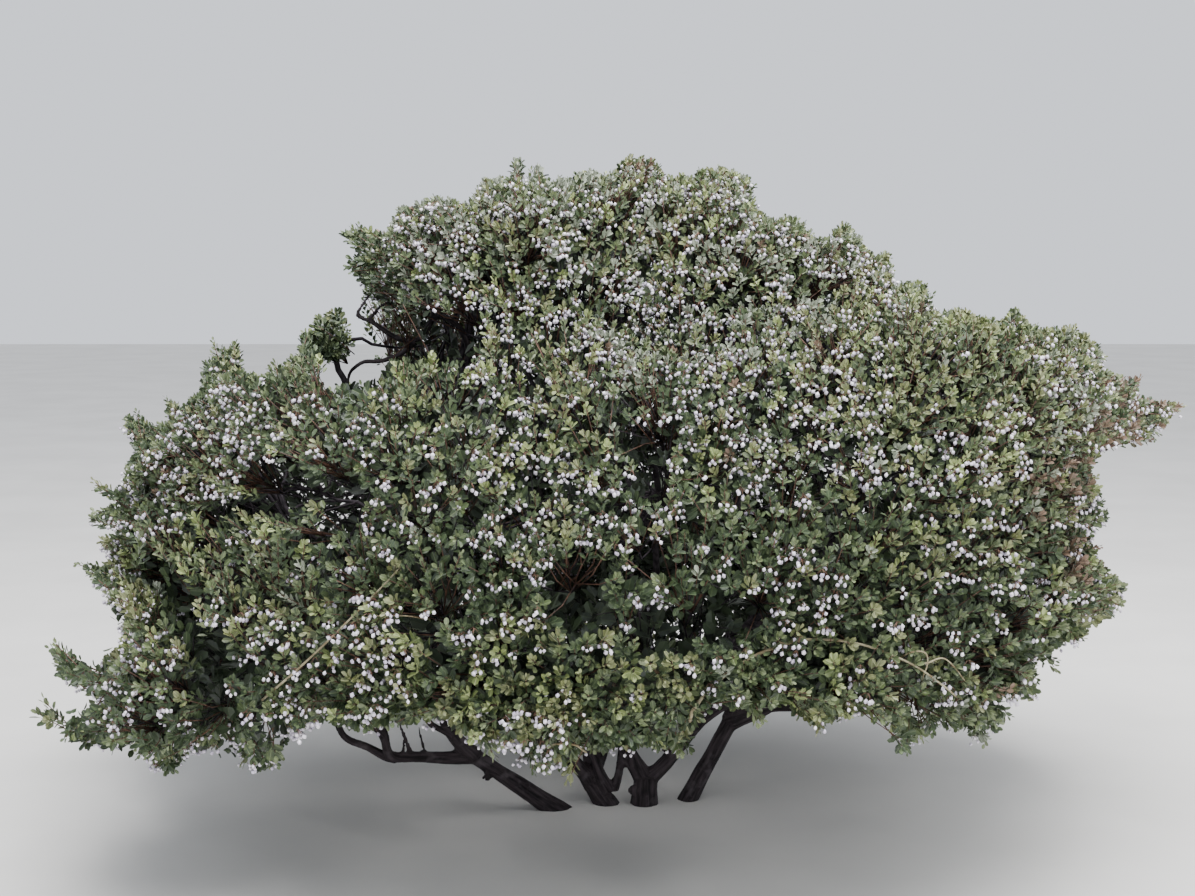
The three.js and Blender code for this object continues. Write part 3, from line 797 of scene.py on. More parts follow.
crownEdge = np.array([
    (-34, 1204), (16, 1198), (36, 1166), (140, 1188), (190, 1166), (194, 1128), (224, 1094),
    (270, 1102), (316, 1058), (340, 1058), (348, 1086), (370, 1084), (402, 1034), (450, 1030),
    (454, 978), (506, 980), (528, 924), (570, 932), (642, 906), (676, 938), (696, 902), (730, 894),
    (788, 898), (842, 848), (836, 818), (904, 810), (900, 770), (988, 754), (926, 678), (872, 686),
    (818, 644), (860, 542), (826, 518), (844, 468), (894, 414), (888, 378), (828, 332), (828, 314),
    (772, 298), (730, 256), (742, 230), (730, 198), (672, 196), (688, 170), (638, 110), (558, 148),
    (480, 94), (406, 176), (318, 134), (264, 184), (120, 180), (88, 132), (96, 102), (58, 80),
    (20, 98), (-50, 98), (-122, 92), (-156, 60), (-184, 44), (-200, 72), (-224, 64), (-272, 114),
    (-328, 118), (-384, 156), (-460, 146), (-512, 130), (-604, 156), (-664, 126), (-674, 80),
    (-706, 56), (-758, 72), (-772, 110), (-840, 98), (-890, 56), (-926, 60), (-954, 102),
    (-1076, 114), (-1102, 148), (-1144, 148), (-1152, 168), (-1136, 198), (-1108, 196),
    (-1088, 156), (-1024, 190), (-1026, 206), (-1094, 224), (-1114, 292), (-1090, 318),
    (-1036, 260), (-988, 302), (-978, 360), (-1060, 462), (-1020, 454), (-994, 470), (-1022, 496),
    (-980, 528), (-1024, 522), (-1038, 548), (-976, 568), (-1022, 612), (-978, 600), (-962, 638),
    (-936, 668), (-964, 718), (-948, 740), (-908, 718), (-874, 722), (-888, 768), (-848, 752),
    (-814, 788), (-816, 832), (-780, 840), (-760, 872), (-740, 860), (-744, 818), (-698, 810),
    (-640, 846), (-632, 878), (-578, 934), (-526, 892), (-536, 836), (-464, 848), (-534, 922),
    (-510, 972), (-550, 1008), (-532, 1036), (-556, 1066), (-546, 1080), (-472, 1068),
    (-446, 1116), (-376, 1134), (-324, 1122), (-292, 1170), (-248, 1166), (-242, 1202),
    (-226, 1198), (-220, 1158), (-192, 1188), (-174, 1158), (-108, 1180), (-70, 1172),
], float)
skyHoles = [(-500, 812, 26), (-526, 808, 26), (-574, 806, 28)]
places = {  # (x, z, radius) of parts of the crown that look alike
    "young": [
        (-396, 772, 84), (-230, 882, 112), (-350, 864, 76), (-658, 568, 76), (-768, 540, 66),
        (-920, 408, 76), (-826, 464, 84), (100, 688, 48), (408, 892, 76), (620, 700, 90),
        (-285, 672, 56), (-500, 346, 56), (-152, 243, 50)],
    "olive": [
        (-272, 218, 112), (-10, 266, 112), (-494, 314, 94), (646, 872, 112), (828, 390, 94),
        (384, 218, 112), (-884, 340, 132), (-158, 762, 112), (553, 737, 110), (523, 493, 70),
        (-669, 363, 70), (-848, 283, 80), (663, 540, 70), (282, 779, 90)],
    "rust": [
        (764, 606, 72), (908, 744, 84), (674, 218, 42), (-12, 1166, 38), (-642, 408, 42),
        (816, 464, 48)],
    # grey-green leaves; near the top they also stand in for the brighter light and the sky's sheen
    # there, as painted light
    "grey": [
        (-156, 1100, 150), (-320, 1054, 132), (208, 930, 112), (-84, 800, 112), (269, 995, 110),
        (183, 1060, 100)],
    # painted light: where the top of the crown catches more light, its leaves are dealt more of the
    # paler olive, young and grey tones
    "top": [(-60, 1180, 260), (240, 1060, 260), (480, 880, 230), (700, 800, 220), (900, 740, 120)],
    # painted shade: in the dark hollows of the crown more leaves take the deep tone
    "dark": [
        (-123, 410, 90), (30, 370, 120), (200, 375, 130), (-565, 557, 80), (-357, 880, 90),
        (0, 600, 70), (420, 260, 140), (650, 300, 110), (-700, 130, 110), (-930, 160, 110),
        (-400, 280, 80), (-330, 520, 60)],
    "fine": [(150, 1020, 330), (600, 840, 260), (860, 740, 140)],
    "muchBlossom": [
        (-12, 946, 338), (210, 726, 282), (-268, 634, 188), (-784, 688, 150), (-868, 294, 170),
        (472, 464, 206), (-102, 464, 150), (-270, 352, 150), (-158, 1090, 206), (269, 995, 150),
        (-930, 600, 100), (-500, 346, 80), (-669, 363, 70), (-700, 200, 120),
        (110, 500, 240)],
    "littleBlossom": [
        (-396, 790, 70), (-826, 484, 84), (792, 314, 112), (-28, 218, 120), (-578, 854, 76),
        (252, 198, 150), (-606, 390, 50), (648, 854, 90)],
    "hollow": [(-477, 913, 46), (-420, 890, 50), (-350, 872, 44), (-440, 850, 26)],
    "window": [
        (4, 690, 50), (6, 610, 34), (-133, 418, 56), (-138, 368, 46), (12, 474, 40),
        (60, 340, 42), (112, 366, 50), (176, 372, 46), (10, 640, 30),
        (-696, 606, 56), (-570, 600, 44), (-565, 552, 40), (-376, 882, 26), (-322, 906, 30),
        (484, 818, 14), (-795, 565, 32), (-364, 390, 40), (-438, 352, 32), (4, 345, 40),
        (-500, 912, 34), (-462, 900, 38), (-420, 905, 34), (-340, 905, 46), (-485, 838, 20),
        (-455, 852, 20), (-520, 832, 18), (-482, 945, 28), (-345, 862, 36), (-330, 790, 24),
        (-477, 913, 30), (-495, 942, 22), (-391, 891, 34), (-369, 790, 22), (-430, 862, 30),
        (-702, 140, 28), (707, 357, 30),
        (-935, 172, 28), (511, 319, 28), (513, 182, 24), (627, 270, 22), (-389, 273, 26),
        (-319, 557, 24), (-755, 272, 22)],
}
sprigs = [  # (x, z) where a single shoot stands out of the outline, and its angle in degrees
    (-624, 855, 176), (-618, 873, 153), (-611, 845, -168), (-600, 864, 152), (-592, 882, 117),
    (-585, 906, 98), (-570, 918, 84), (-555, 913, 70), (-541, 891, 47), (-534, 869, 22),
    (-549, 855, 6), (-563, 864, 41), (-578, 855, 108), (-593, 840, -143), (-606, 833, -147),
    (-560, 840, -35), (-542, 845, -11), (-619, 836, -159), (-579, 833, -96), (-552, 882, 50),
    (-567, 891, 76), (-582, 877, 101), (-608, 888, 131), (-598, 900, 114), (-545, 903, 58),
    (-571, 905, 84), (-556, 927, 74), (-540, 880, 37), (-604, 856, 172), (-588, 865, 130),
    (-574, 872, 81), (-560, 850, -7), (-590, 850, -171), (-598, 875, 132), (-565, 875, 62),
    (-553, 868, 34),
    (-31, 1205, 102), (-195, 1190, 69), (-209, 1188, 87), (-75, 1178, 100), (-157, 1172, 75),
    (200, 1155, 36), (-308, 1153, 108), (-143, 1157, 83), (-451, 1113, 114), (288, 1092, 67),
    (254, 1092, 73), (-539, 1083, 129), (-544, 1068, 147), (-524, 1085, 111), (-505, 1058, 94),
    (-550, 1004, -163), (-539, 993, -145), (528, 961, 48), (-560, 932, 79), (-574, 926, 97),
    (717, 903, 52), (-794, 876, 113), (-799, 854, 131), (-775, 864, 95), (-683, 836, 119),
    (-692, 825, 137), (909, 808, 55), (-883, 772, 119), (992, 755, 25), (976, 762, 43),
    (-938, 746, 116), (938, 684, -62), (946, 696, -44), (-959, 648, 158), (836, 619, 2),
    (-1023, 615, 147), (-1020, 598, 165), (-1023, 555, -179), (848, 490, 6), (-1060, 458, 170),
    (-1103, 313, 116), (-1112, 301, 134), (771, 256, -41), (773, 272, -23), (-1010, 279, 121),
    (-1129, 202, 126), (687, 166, -37), (211, 151, -71), (222, 158, -53), (325, 132, -96),
    (-1060, 124, -126), (524, 120, -56), (531, 133, -38), (641, 112, -70), (-1091, 120, -113),
    (-281, 85, -59), (-277, 104, -41), (-803, 103, -84), (-953, 86, -121), (-936, 88, -103),
    (-959, 102, -139), (495, 95, -82), (-691, 71, -65), (-684, 87, -47), (-210, 57, -85),
    (-198, 68, -67), (-758, 71, -111), (-145, 37, -102),
]


def insideEdge(flat):  # how far inside the outline, and less than 0 outside it
    following = np.roll(crownEdge, -1, axis=0)
    inside = np.zeros(len(flat), bool)
    nearest = np.full(len(flat), np.inf)
    for (ax, az), (bx, bz) in zip(crownEdge, following):
        if az != bz:
            crosses = (az > flat[:, 1]) != (bz > flat[:, 1])
            at = ax + (bx - ax) * (flat[:, 1] - az) / (bz - az)
            inside ^= crosses & (flat[:, 0] < at)
        side = np.array([bx - ax, bz - az])
        share = np.clip(((flat - [ax, az]) @ side) / (side @ side), 0, 1)
        away = np.linalg.norm(flat - [ax, az] - share[:, None] * side, axis=1)
        nearest = np.minimum(nearest, away)
    return np.where(inside, nearest, -nearest)


placeEdge = {"outer": 1.25, "width": 0.5}  # of a soft place, as shares of its radius


def within(flat, spots, soft=False):  # 1 inside one of the spots, 0 outside them all
    share = np.zeros(len(flat))
    for x, z, radius in spots:
        distance = np.linalg.norm(flat - [x, z], axis=1) / radius
        fade = np.clip((placeEdge["outer"] - distance) / placeEdge["width"], 0, 1)
        share = np.maximum(share, fade if soft else distance < 1)
    return share


# Shoots: where each ends, which way it grows, and which mass it belongs to.

shootRule = {
    "layers": [  # rim and drawn: how far inside the outline its shoots stay, or are drawn in to
        {
            "name": "outer", "gap": 17.8, "depth": -2.0, "ripple": 26.0, "length": [45, 72],
            "drawn": 0.0, "rim": 0.0,
        },
        {
            "name": "inner", "gap": 27.5, "depth": -40.0, "ripple": 20.0, "length": [40, 60],
            "drawn": 34.0, "rim": 12.0,
        },
        {
            "name": "shade", "gap": 44.0, "depth": -96.0, "ripple": 26.0, "length": [40, 60],
            "rim": 24.0,
        },
        {
            "name": "core", "gap": 60.0, "depth": -160.0, "ripple": 20.0, "length": [40, 60],
            "rim": 34.0,
        },
    ],
    "tries": 4, "scatter": 0.3, "skinSlack": 1.02,  # places tried for each shoot, and their stray
    "unevenness": 5, "rippleGrain": 85.0, "sprigShare": 0.05, "sprigReach": [12, 30],
    "outward": 0.9, "lift": 0.5, "hemLift": 0.2, "hemFrom": -0.2, "wander": 0.3,
    "footDepth": 0.97, "footWay": 0.3,  # a shoot with a bare foot turns away from the middle
    "edgeRoom": 4.0, "lowRoom": 2.2, "hemSlope": -0.45, "hemShare": 0.4, "lowest": 34.0,
    "fineness": 0.90, "lowGap": 1.08, "lowFrom": 640.0, "lowOver": 300.0,
    "boxRoom": 16.0, "boxKnee": 0.80,
    "domeFrom": 650.0, "domeOver": 600.0, "domeShare": 0.30,  # the top, drawn in front and back
    "hemRoundFrom": 330.0, "hemRound": 0.12,
    "drawSpread": 26.0, "drawSteps": 16, "drawStep": 13.0,
    "backGap": 0.20, "deepest": 0.75,
    "lobeGrain": 230.0, "lobeDepth": 95.0, "lobeFrom": 0.46, "lobeFront": 0.45,  # bays at the back
    "windowEdge": 0.75, "windowWander": 0.5, "windowGrain": 30.0, "deepWindow": 39.0,
    "windowDepth": 60.0, "hollowDepth": 330.0,  # how far back a dark window and a hollow reach
    "fill": {"step": 11.0, "jitter": 0.4, "gap": 15.0, "band": 80.0, "unevenness": 8},
    "backing": {
        "step": 29.0, "jitter": 0.35, "top": 480.0, "thin": 0.4, "room": 56.0, "depth": 170.0,
        "wander": 60.0, "lowest": 190.0, "way": [0, -1, 0.2], "spread": 0.5,
    },
    "sprigBack": 9.0, "sprigLength": 58.0, "sprigRoot": 30, "strayCost": 1000,
    "clumpAt": [-578, 885], "clumpReach": 72.0, "clumpDepth": 60.0, "clumpLean": 0.9,
}
lowest, highest = (np.array([list(c)[i] for i in range(3)]) / millimetre for c in cadBox)


def heldIn(points):  # drawn in softly so that no leaf leaves the solids' box to the front or back
    for limit, sign in ((highest[1], 1), (-lowest[1], -1)):
        limit = limit - shootRule["boxRoom"]
        knee = limit * shootRule["boxKnee"]
        over = np.maximum(points[:, 1] * sign - knee, 0)
        soft = (limit - knee) * np.tanh(over / (limit - knee))
        points[:, 1] = np.where(over > 0, sign * (knee + soft), points[:, 1])
    high = np.clip((points[:, 2] - shootRule["domeFrom"]) / shootRule["domeOver"], 0, 1)
    low = np.clip((shootRule["hemRoundFrom"] - points[:, 2]) / shootRule["hemRoundFrom"], 0, 1)
    dome = shootRule["domeShare"] * high * high * (3 - 2 * high)
    points[:, 1] *= 1 - dome - shootRule["hemRound"] * low * low
    return points


def drawnIn(points, normals, room):  # what would end outside the outline grows less far instead
    flat = seen(points)
    astray = np.flatnonzero(insideEdge(flat) < edgeRoom(flat))
    room = room + random.uniform(0, shootRule["drawSpread"], len(astray))
    for _ in range(shootRule["drawSteps"]):
        flat = seen(points[astray])
        still = insideEdge(flat) < edgeRoom(flat) + room
        astray, room = astray[still], room[still]
        points[astray] -= normals[astray] * shootRule["drawStep"]
    return points


def thinned(points, gap, shares=1.0):  # the order of a choice of points at least gap apart
    taken, cells = [], {}
    shares = np.broadcast_to(shares, len(points))
    keys = np.floor(points / (gap * shares.max())).astype(int)
    apart = (gap * shares) ** 2
    for i in random.permutation(len(points)):
        x, y, z = keys[i]
        near = [cells[k] for k in (
            (x + a, y + b, z + c) for a in (-1, 0, 1) for b in (-1, 0, 1) for c in (-1, 0, 1)
        ) if k in cells]
        mine = points[i]
        close = any(
            (mine[0] - q[0]) ** 2 + (mine[1] - q[1]) ** 2 + (mine[2] - q[2]) ** 2 < apart[i]
            for cell in near for q in cell)
        if not close:
            cells.setdefault((x, y, z), []).append(mine)
            taken.append(i)
    return np.array(taken)


def nearestOf(points, seeds):
    tree = treeOf(seeds)
    return np.array([tree.find(p)[1] for p in points])


def evenWays(count):  # unit ways spread evenly over all directions
    i = np.arange(count)
    height = 1 - 2 * (i + 0.5) / count
    turn = i * goldenAngle
    flat = np.sqrt(1 - height * height)
    return np.stack([flat * np.cos(turn), flat * np.sin(turn), height], axis=1)


def leafScale(flat, atTop, atFoot):  # leaves are smaller at the top and larger at the foot
    fine = within(flat, places["fine"], soft=True)
    low = np.clip((shootRule["lowFrom"] - flat[:, 1]) / shootRule["lowOver"], 0, 1)
    return 1 + (atTop - 1) * fine + (atFoot - 1) * low


def awayFrom(normals):  # 1 at the back of the crown, 0 at the front
    return np.clip(normals[:, 1] * 2, 0, 1)


def layerTips(layer):
    tips, owners, reaches = [], [], []
    for number, mass in enumerate(masses):
        size = mass.half.mean()
        ways = evenWays(int(4 * math.pi * size * size / layer["gap"] ** 2 * shootRule["tries"]))
        stray = random.normal(size=ways.shape) * shootRule["scatter"] * layer["gap"] / size
        ways = unit(ways + stray)
        reach = skinReach(mass, ways)
        own = reach <= mass.wallReach(ways) * shootRule["skinSlack"]
        points = mass.centre + ways[own] * reach[own][:, None]
        tips.append(points)
        owners.append(np.full(len(points), number))
        reaches.append(reach[own])
    tips, owners, reaches = np.concatenate(tips), np.concatenate(owners), np.concatenate(reaches)
    normals = skinNormals(tips)
    shares = leafScale(seen(tips), shootRule["fineness"], shootRule["lowGap"])
    chosen = thinned(tips, layer["gap"], shares * (1 + shootRule["backGap"] * awayFrom(normals)))
    tips, owners, normals, reaches = tips[chosen], owners[chosen], normals[chosen], reaches[chosen]
    wave = (smoothNoise(tips + 700, shootRule["rippleGrain"]) - 0.5) * 2 * layer["ripple"]
    offset = layer["depth"] + wave + random.normal(size=len(tips)) * shootRule["unevenness"]
    lobe = np.maximum(smoothNoise(tips + 2100, shootRule["lobeGrain"]) - shootRule["lobeFrom"], 0)
    behind = np.clip(normals[:, 1] + shootRule["lobeFront"], 0, 1)
    offset = offset - lobe * 2 * shootRule["lobeDepth"] * behind
    if layer["name"] == "outer":
        sprig = random.random(len(tips)) < shootRule["sprigShare"]
        offset = offset + sprig * random.uniform(*shootRule["sprigReach"], len(tips))
    offset = np.maximum(offset, -shootRule["deepest"] * reaches)
    tips = heldIn(tips + normals * offset[:, None])
    if "drawn" in layer:
        tips = drawnIn(tips, normals, layer["drawn"])
    hem = normals[:, 2] < shootRule["hemSlope"]
    hemShare = shootRule["hemShare"] if layer["name"] in ("outer", "inner") else 1
    kept = ~hem | (random.random(len(tips)) < hemShare)
    kept &= tips[:, 2] > shootRule["lowest"]
    return tips[kept], normals[kept], owners[kept]


def shootWays(tips, normals):
    atHem = normals[:, 2] < shootRule["hemFrom"]
    lift = np.where(atHem, shootRule["hemLift"], shootRule["lift"])
    wander = random.normal(size=tips.shape) * shootRule["wander"]
    return unit(shootRule["outward"] * normals + lift[:, None] * upward + wander)


def edgeRoom(flat):  # how far inside the outline a shoot ends, more where the leaves are larger
    return shootRule["edgeRoom"] * leafScale(flat, 1.0, shootRule["lowRoom"])


def openPlaces(tips, layer):  # which shoots stay, where the crown has gaps and hollows
    flat = seen(tips)
    kept = insideEdge(flat) > edgeRoom(flat) + layer["rim"]
    kept &= within(flat, skyHoles) == 0
    if layer["name"] != "core":
        least = shootRule["deepWindow"] if layer["name"] == "shade" else 0
        windows = [spot for spot in places["window"] if spot[2] > least]
        middles = np.array([[x, z] for x, z, _ in windows])
        radii = np.array([radius for _, _, radius in windows])
        away = (np.linalg.norm(flat[:, None] - middles[None], axis=2) / radii).min(axis=1)
        noise = smoothNoise(tips, shootRule["windowGrain"])
        uneven = shootRule["windowEdge"] + shootRule["windowWander"] * noise
        inHollow = within(flat, places["hollow"]) > 0
        behind = np.where(inHollow, shootRule["hollowDepth"], shootRule["windowDepth"])
        kept &= (away > uneven) | (tips[:, 1] > behind)
    return kept


def gridInCrown(rule):  # an uneven grid of places over the outline
    low, high = crownEdge.min(axis=0), crownEdge.max(axis=0)
    across, up = (np.arange(low[k], high[k], rule["step"]) for k in range(2))
    grid = np.stack(np.meshgrid(across, up), axis=-1).reshape(-1, 2)
    return grid + random.uniform(-rule["jitter"], rule["jitter"], grid.shape) * rule["step"]


def together(first, second):  # two sets of arrays joined array by array
    return [np.concatenate(pair) for pair in zip(first, second)]


def fillTips(tips, normals, owners):
    # more shoots just inside the outline, where the even ones leave it ragged
    rule = shootRule["fill"]
    grid = gridInCrown(rule)
    room = insideEdge(grid)
    grid = grid[(room > edgeRoom(grid)) & (room < rule["band"])]
    grid = grid[(within(grid, skyHoles) == 0) & (within(grid, places["window"]) == 0)]
    tree = treeOf(onPlane(seen(tips)))
    found = []
    for x, z in grid:
        _, _, distance = tree.find((x, 0, z))
        if distance > rule["gap"]:
            close = [q for q in found if (q[0] - x) ** 2 + (q[1] - z) ** 2 < rule["gap"] ** 2]
            if not close:
                near = [i for _, i, _ in tree.find_n((x, 0, z), 3)]
                found.append((x, z, near[int(random.integers(3))]))
    if not found:
        return tips, normals, owners
    parents = np.array([parent for _, _, parent in found])
    depths = tips[parents, 1] + random.normal(size=len(parents)) * rule["unevenness"]
    points = unseen(np.array([place[:2] for place in found], float), depths)
    return together((tips, normals, owners), (points, normals[parents], owners[parents]))


def backingTips(tips, owners):  # shade leaves deep inside, against light from behind
    rule = shootRule["backing"]
    grid = gridInCrown(rule)
    grid = grid[(grid[:, 1] < rule["top"]) | (random.random(len(grid)) < rule["thin"])]
    grid = grid[insideEdge(grid) > rule["room"]]
    points = unseen(grid, rule["depth"] + random.uniform(-1, 1, len(grid)) * rule["wander"])
    points = points[points[:, 2] > rule["lowest"]]
    ways = unit(random.normal(size=points.shape) * rule["spread"] + np.array(rule["way"]))
    return points, ways, owners[nearestOf(points, tips)]


def sprigTips(tips, owners):  # the single shoots that stand out of the outline
    angles = np.radians([angle for _, _, angle in sprigs])
    ways = np.stack([np.cos(angles), np.zeros(len(sprigs)), np.sin(angles)], axis=1)
    flat = np.array([[x, z] for x, z, _ in sprigs]) - shootRule["sprigBack"] * ways[:, [0, 2]]
    spots = seen(tips)
    clump = massNames.index("clump")
    inClump = np.linalg.norm(flat - shootRule["clumpAt"], axis=1) < shootRule["clumpReach"]
    ways[:, 1] = -random.uniform(0, shootRule["clumpLean"], len(ways)) * inClump
    ways = unit(ways)
    hosts = []
    for spot, way, own in zip(flat, ways[:, [0, 2]], inClump):
        gone = np.linalg.norm(spots - spot + shootRule["sprigRoot"] * way, axis=1)
        hosts.append(np.where(owners == clump, gone, gone + shootRule["strayCost"] * own).argmin())
    forward = random.uniform(0, shootRule["clumpDepth"], len(flat)) * inClump
    return unseen(flat, tips[hosts, 1] - forward), ways, owners[hosts]


massNames = [m.name for m in masses]
shoots = {"tip": [], "normal": [], "mass": [], "layer": [], "length": []}
for layerNumber, eachLayer in enumerate(shootRule["layers"]):
    found = layerTips(eachLayer)  # tips, ways and the numbers of their masses
    stays = openPlaces(found[0], eachLayer)
    found = [values[stays] for values in found]
    if eachLayer["name"] == "outer":
        before = len(found[0])
        found = fillTips(*found)
        report("fill", len(found[0]) - before)
        sprigAt = len(found[0]) + np.arange(len(sprigs))
        sprigShoots = sprigTips(found[0], found[2])
        found = together(found, sprigShoots)
    if eachLayer["name"] == "core":
        found = together(found, backingTips(found[0], found[2]))
    for key, values in zip(("tip", "normal", "mass"), found):
        shoots[key].append(values)
    shoots["layer"].append(np.full(len(found[0]), layerNumber))
    shoots["length"].append(random.uniform(*eachLayer["length"], len(found[0])))
shoots = {key: np.concatenate(value) for key, value in shoots.items()}
shoots["layer"][shoots["mass"] == massNames.index("clump")] = 0
shoots["way"] = shootWays(shoots["tip"], shoots["normal"])
shootFeet = shoots["tip"] - shoots["way"] * shoots["length"][:, None]
bareFeet = depthAt(shootFeet) > shootRule["footDepth"]
fromMiddle = unit(shoots["tip"] - np.array([m.centre for m in masses])[shoots["mass"]])
turnedWay = unit(shootRule["footWay"] * shoots["way"] + fromMiddle)
shoots["way"][bareFeet] = turnedWay[bareFeet]
shoots["way"][sprigAt] = sprigShoots[1]
shoots["length"][sprigAt] = shootRule["sprigLength"]
shoots["seen"] = seen(shoots["tip"])
report("shoots", [int((shoots["layer"] == n).sum()) for n in range(4)])


# Twigs that carry the shoots: three steps finer than each bough.

twigRule = {
    "branchGap": 210.0, "twigGap": 92.0, "branchShare": 0.62, "twigPull": 20.0,
    "overshoot": 0.12, "branchFrom": 0.1, "branchRise": 0.15, "onward": 0.8,
    "branchSteps": [3, 7], "twigSteps": [3, 6],  # points of a path that the next ones leave from
    "points": {"carrier": 7, "branch": 7, "twig": 6, "shoot": 3},
    "radii": {
        "carrier": [6.0, 5.0], "branch": [4.4, 2.6], "twig": [2.3, 1.4], "shoot": [1.2, 0.8],
    },
    "sides": {"carrier": 7, "branch": 5, "twig": 3, "shoot": 3},
    "crook": 0.018, "shootCrook": 0.01, "gapSteps": 9, "edgeSlack": 1.0,
}


def grouped(points, gap):  # the group of each point, by the nearest of seeds at least gap apart
    seeds = points[thinned(points, gap)]
    return np.unique(nearestOf(points, seeds), return_inverse=True)[1]


def groupMeans(values, group):
    return np.array([values[group == g].mean(axis=0) for g in range(group.max() + 1)])


def growTwigs():
    carriers, branches, twigs, shootPaths = [], [], [], []
    points, crook = twigRule["points"], twigRule["crook"]
    for number, mass in enumerate(masses):
        mine = np.flatnonzero(shoots["mass"] == number)
        if len(mine) == 0:
            continue
        start, startWay = mass.bough.points([1.0])[0], mass.bough.way(1.0)
        middle = mass.centre + (mass.centre - start) * twigRule["overshoot"]
        onward = unit(middle - start)
        tips, ways = shoots["tip"][mine], shoots["way"][mine]
        feet = tips - ways * shoots["length"][mine][:, None]
        group = grouped(feet, twigRule["twigGap"])
        ends, endWays = groupMeans(feet, group), unit(groupMeans(ways, group))
        ends = ends - endWays * twigRule["twigPull"]
        branchOf = grouped(ends, twigRule["branchGap"])
        axisShares = random.uniform(twigRule["branchFrom"], 1.0, branchOf.max() + 1)
        roots = start + (middle - start) * axisShares[:, None]
        goals = groupMeans(ends, branchOf)
        branchEnds = roots + (goals - roots) * twigRule["branchShare"]
        branchWays = unit(unit(goals - roots) + twigRule["branchRise"] * upward)
        carriers.append(bentPaths(
            start[None], startWay[None], middle[None], onward[None], points["carrier"], crook))
        leaving = unit(onward * twigRule["onward"] + unit(goals - roots))
        branch = bentPaths(roots, leaving, branchEnds, branchWays, points["branch"], crook)
        branches.append(branch)
        steps = random.integers(*twigRule["branchSteps"], len(ends))
        twigRoots = branch[branchOf, steps]
        twigWays = unit(unit(branch[branchOf, -1] - branch[branchOf, -3]) + unit(ends - twigRoots))
        twig = bentPaths(twigRoots, twigWays, ends, endWays, points["twig"], crook)
        twigs.append(twig)
        steps = random.integers(*twigRule["twigSteps"], len(mine))
        shootRoots = twig[group, steps]
        rootWays = unit(unit(twig[group, -1] - twig[group, -3]) + unit(tips - shootRoots))
        shootPaths.append((mine, bentPaths(
            shootRoots, rootWays, tips, ways, points["shoot"], twigRule["shootCrook"])))
    return carriers, branches, twigs, shootPaths


def crossesGap(paths):  # whether a path shows against the sky, outside the outline or in a hole
    steps = np.linspace(0, paths.shape[1] - 1, twigRule["gapSteps"])
    low = np.minimum(steps.astype(int), paths.shape[1] - 2)
    share = (steps - low)[None, :, None]
    points = paths[:, low] * (1 - share) + paths[:, low + 1] * share
    flat = seen(points.reshape(-1, 3))
    bare = (insideEdge(flat) < -twigRule["edgeSlack"]) | (within(flat, skyHoles) > 0)
    return bare.reshape(len(paths), -1)[:, :-1].any(axis=1)


def tubePiece(name, sets, material):
    parts = []
    for kind, paths in sets:
        radii = np.linspace(*twigRule["radii"][kind], paths.shape[1])
        radii = np.repeat(radii[None], len(paths), axis=0)
        parts.append(tubeArrays(paths, radii, twigRule["sides"][kind]))
    piece = meshFrom(name, *joinArrays(parts))
    piece.data.materials.append(material)
    return piece


carrierPaths, branchPaths, twigPaths, shootPaths = growTwigs()
carrierPaths, branchPaths, twigPaths = map(np.concatenate, (carrierPaths, branchPaths, twigPaths))
shootOrder = np.concatenate([order for order, _ in shootPaths])
shootPaths = np.concatenate([paths for _, paths in shootPaths])[np.argsort(shootOrder)]
isSprig = np.isin(np.arange(len(shootPaths)), sprigAt)
inClump = shoots["mass"] == massNames.index("clump")
crossing = crossesGap(shootPaths)
clear = ~crossing | isSprig | inClump
drawn = (~crossing | (isSprig & ~inClump))[clear]
shootPaths, isSprig = shootPaths[clear], isSprig[clear]
shoots = {key: value[clear] for key, value in shoots.items()}
twigPaths = twigPaths[~crossesGap(twigPaths)]
report("shoots that would cross a gap", int((~clear).sum()))
# Young bark: smooth and dark, partly its own colour and partly painted shade, so that the inside of
# the crown stays deep.
twigBarkAndShade = plainMaterial("young manzanita bark", 0x423A40, 0x221E22, 9.0, 0.75, 0.3)
# The last shoots: warm red-brown between the leaves, a little smoother than the twigs.
shootBark = plainMaterial("red-brown manzanita shoot", 0x66493A, 0x3E2D27, 14.0, 0.6, 0.35)
branchPiece = tubePiece("branches", [
    ("carrier", carrierPaths), ("branch", branchPaths), ("twig", twigPaths),
    # the inner shoots wear this dark bark instead of the red-brown, as painted shade
    ("shoot", shootPaths[drawn & (shoots["layer"] > 0)][:, ::2]),
], twigBarkAndShade)
inFront = (shoots["layer"] == 0) & (shoots["tip"][:, 1] < 0)
behind = (shoots["layer"] == 0) & ~inFront
shootPiece = tubePiece("shoots", [
    ("shoot", shootPaths[drawn & inFront]), ("shoot", shootPaths[drawn & behind][:, ::2]),
], shootBark)
report("twigs", len(branchPaths), len(twigPaths))


# One leaf, and the sprays it is dealt out in.

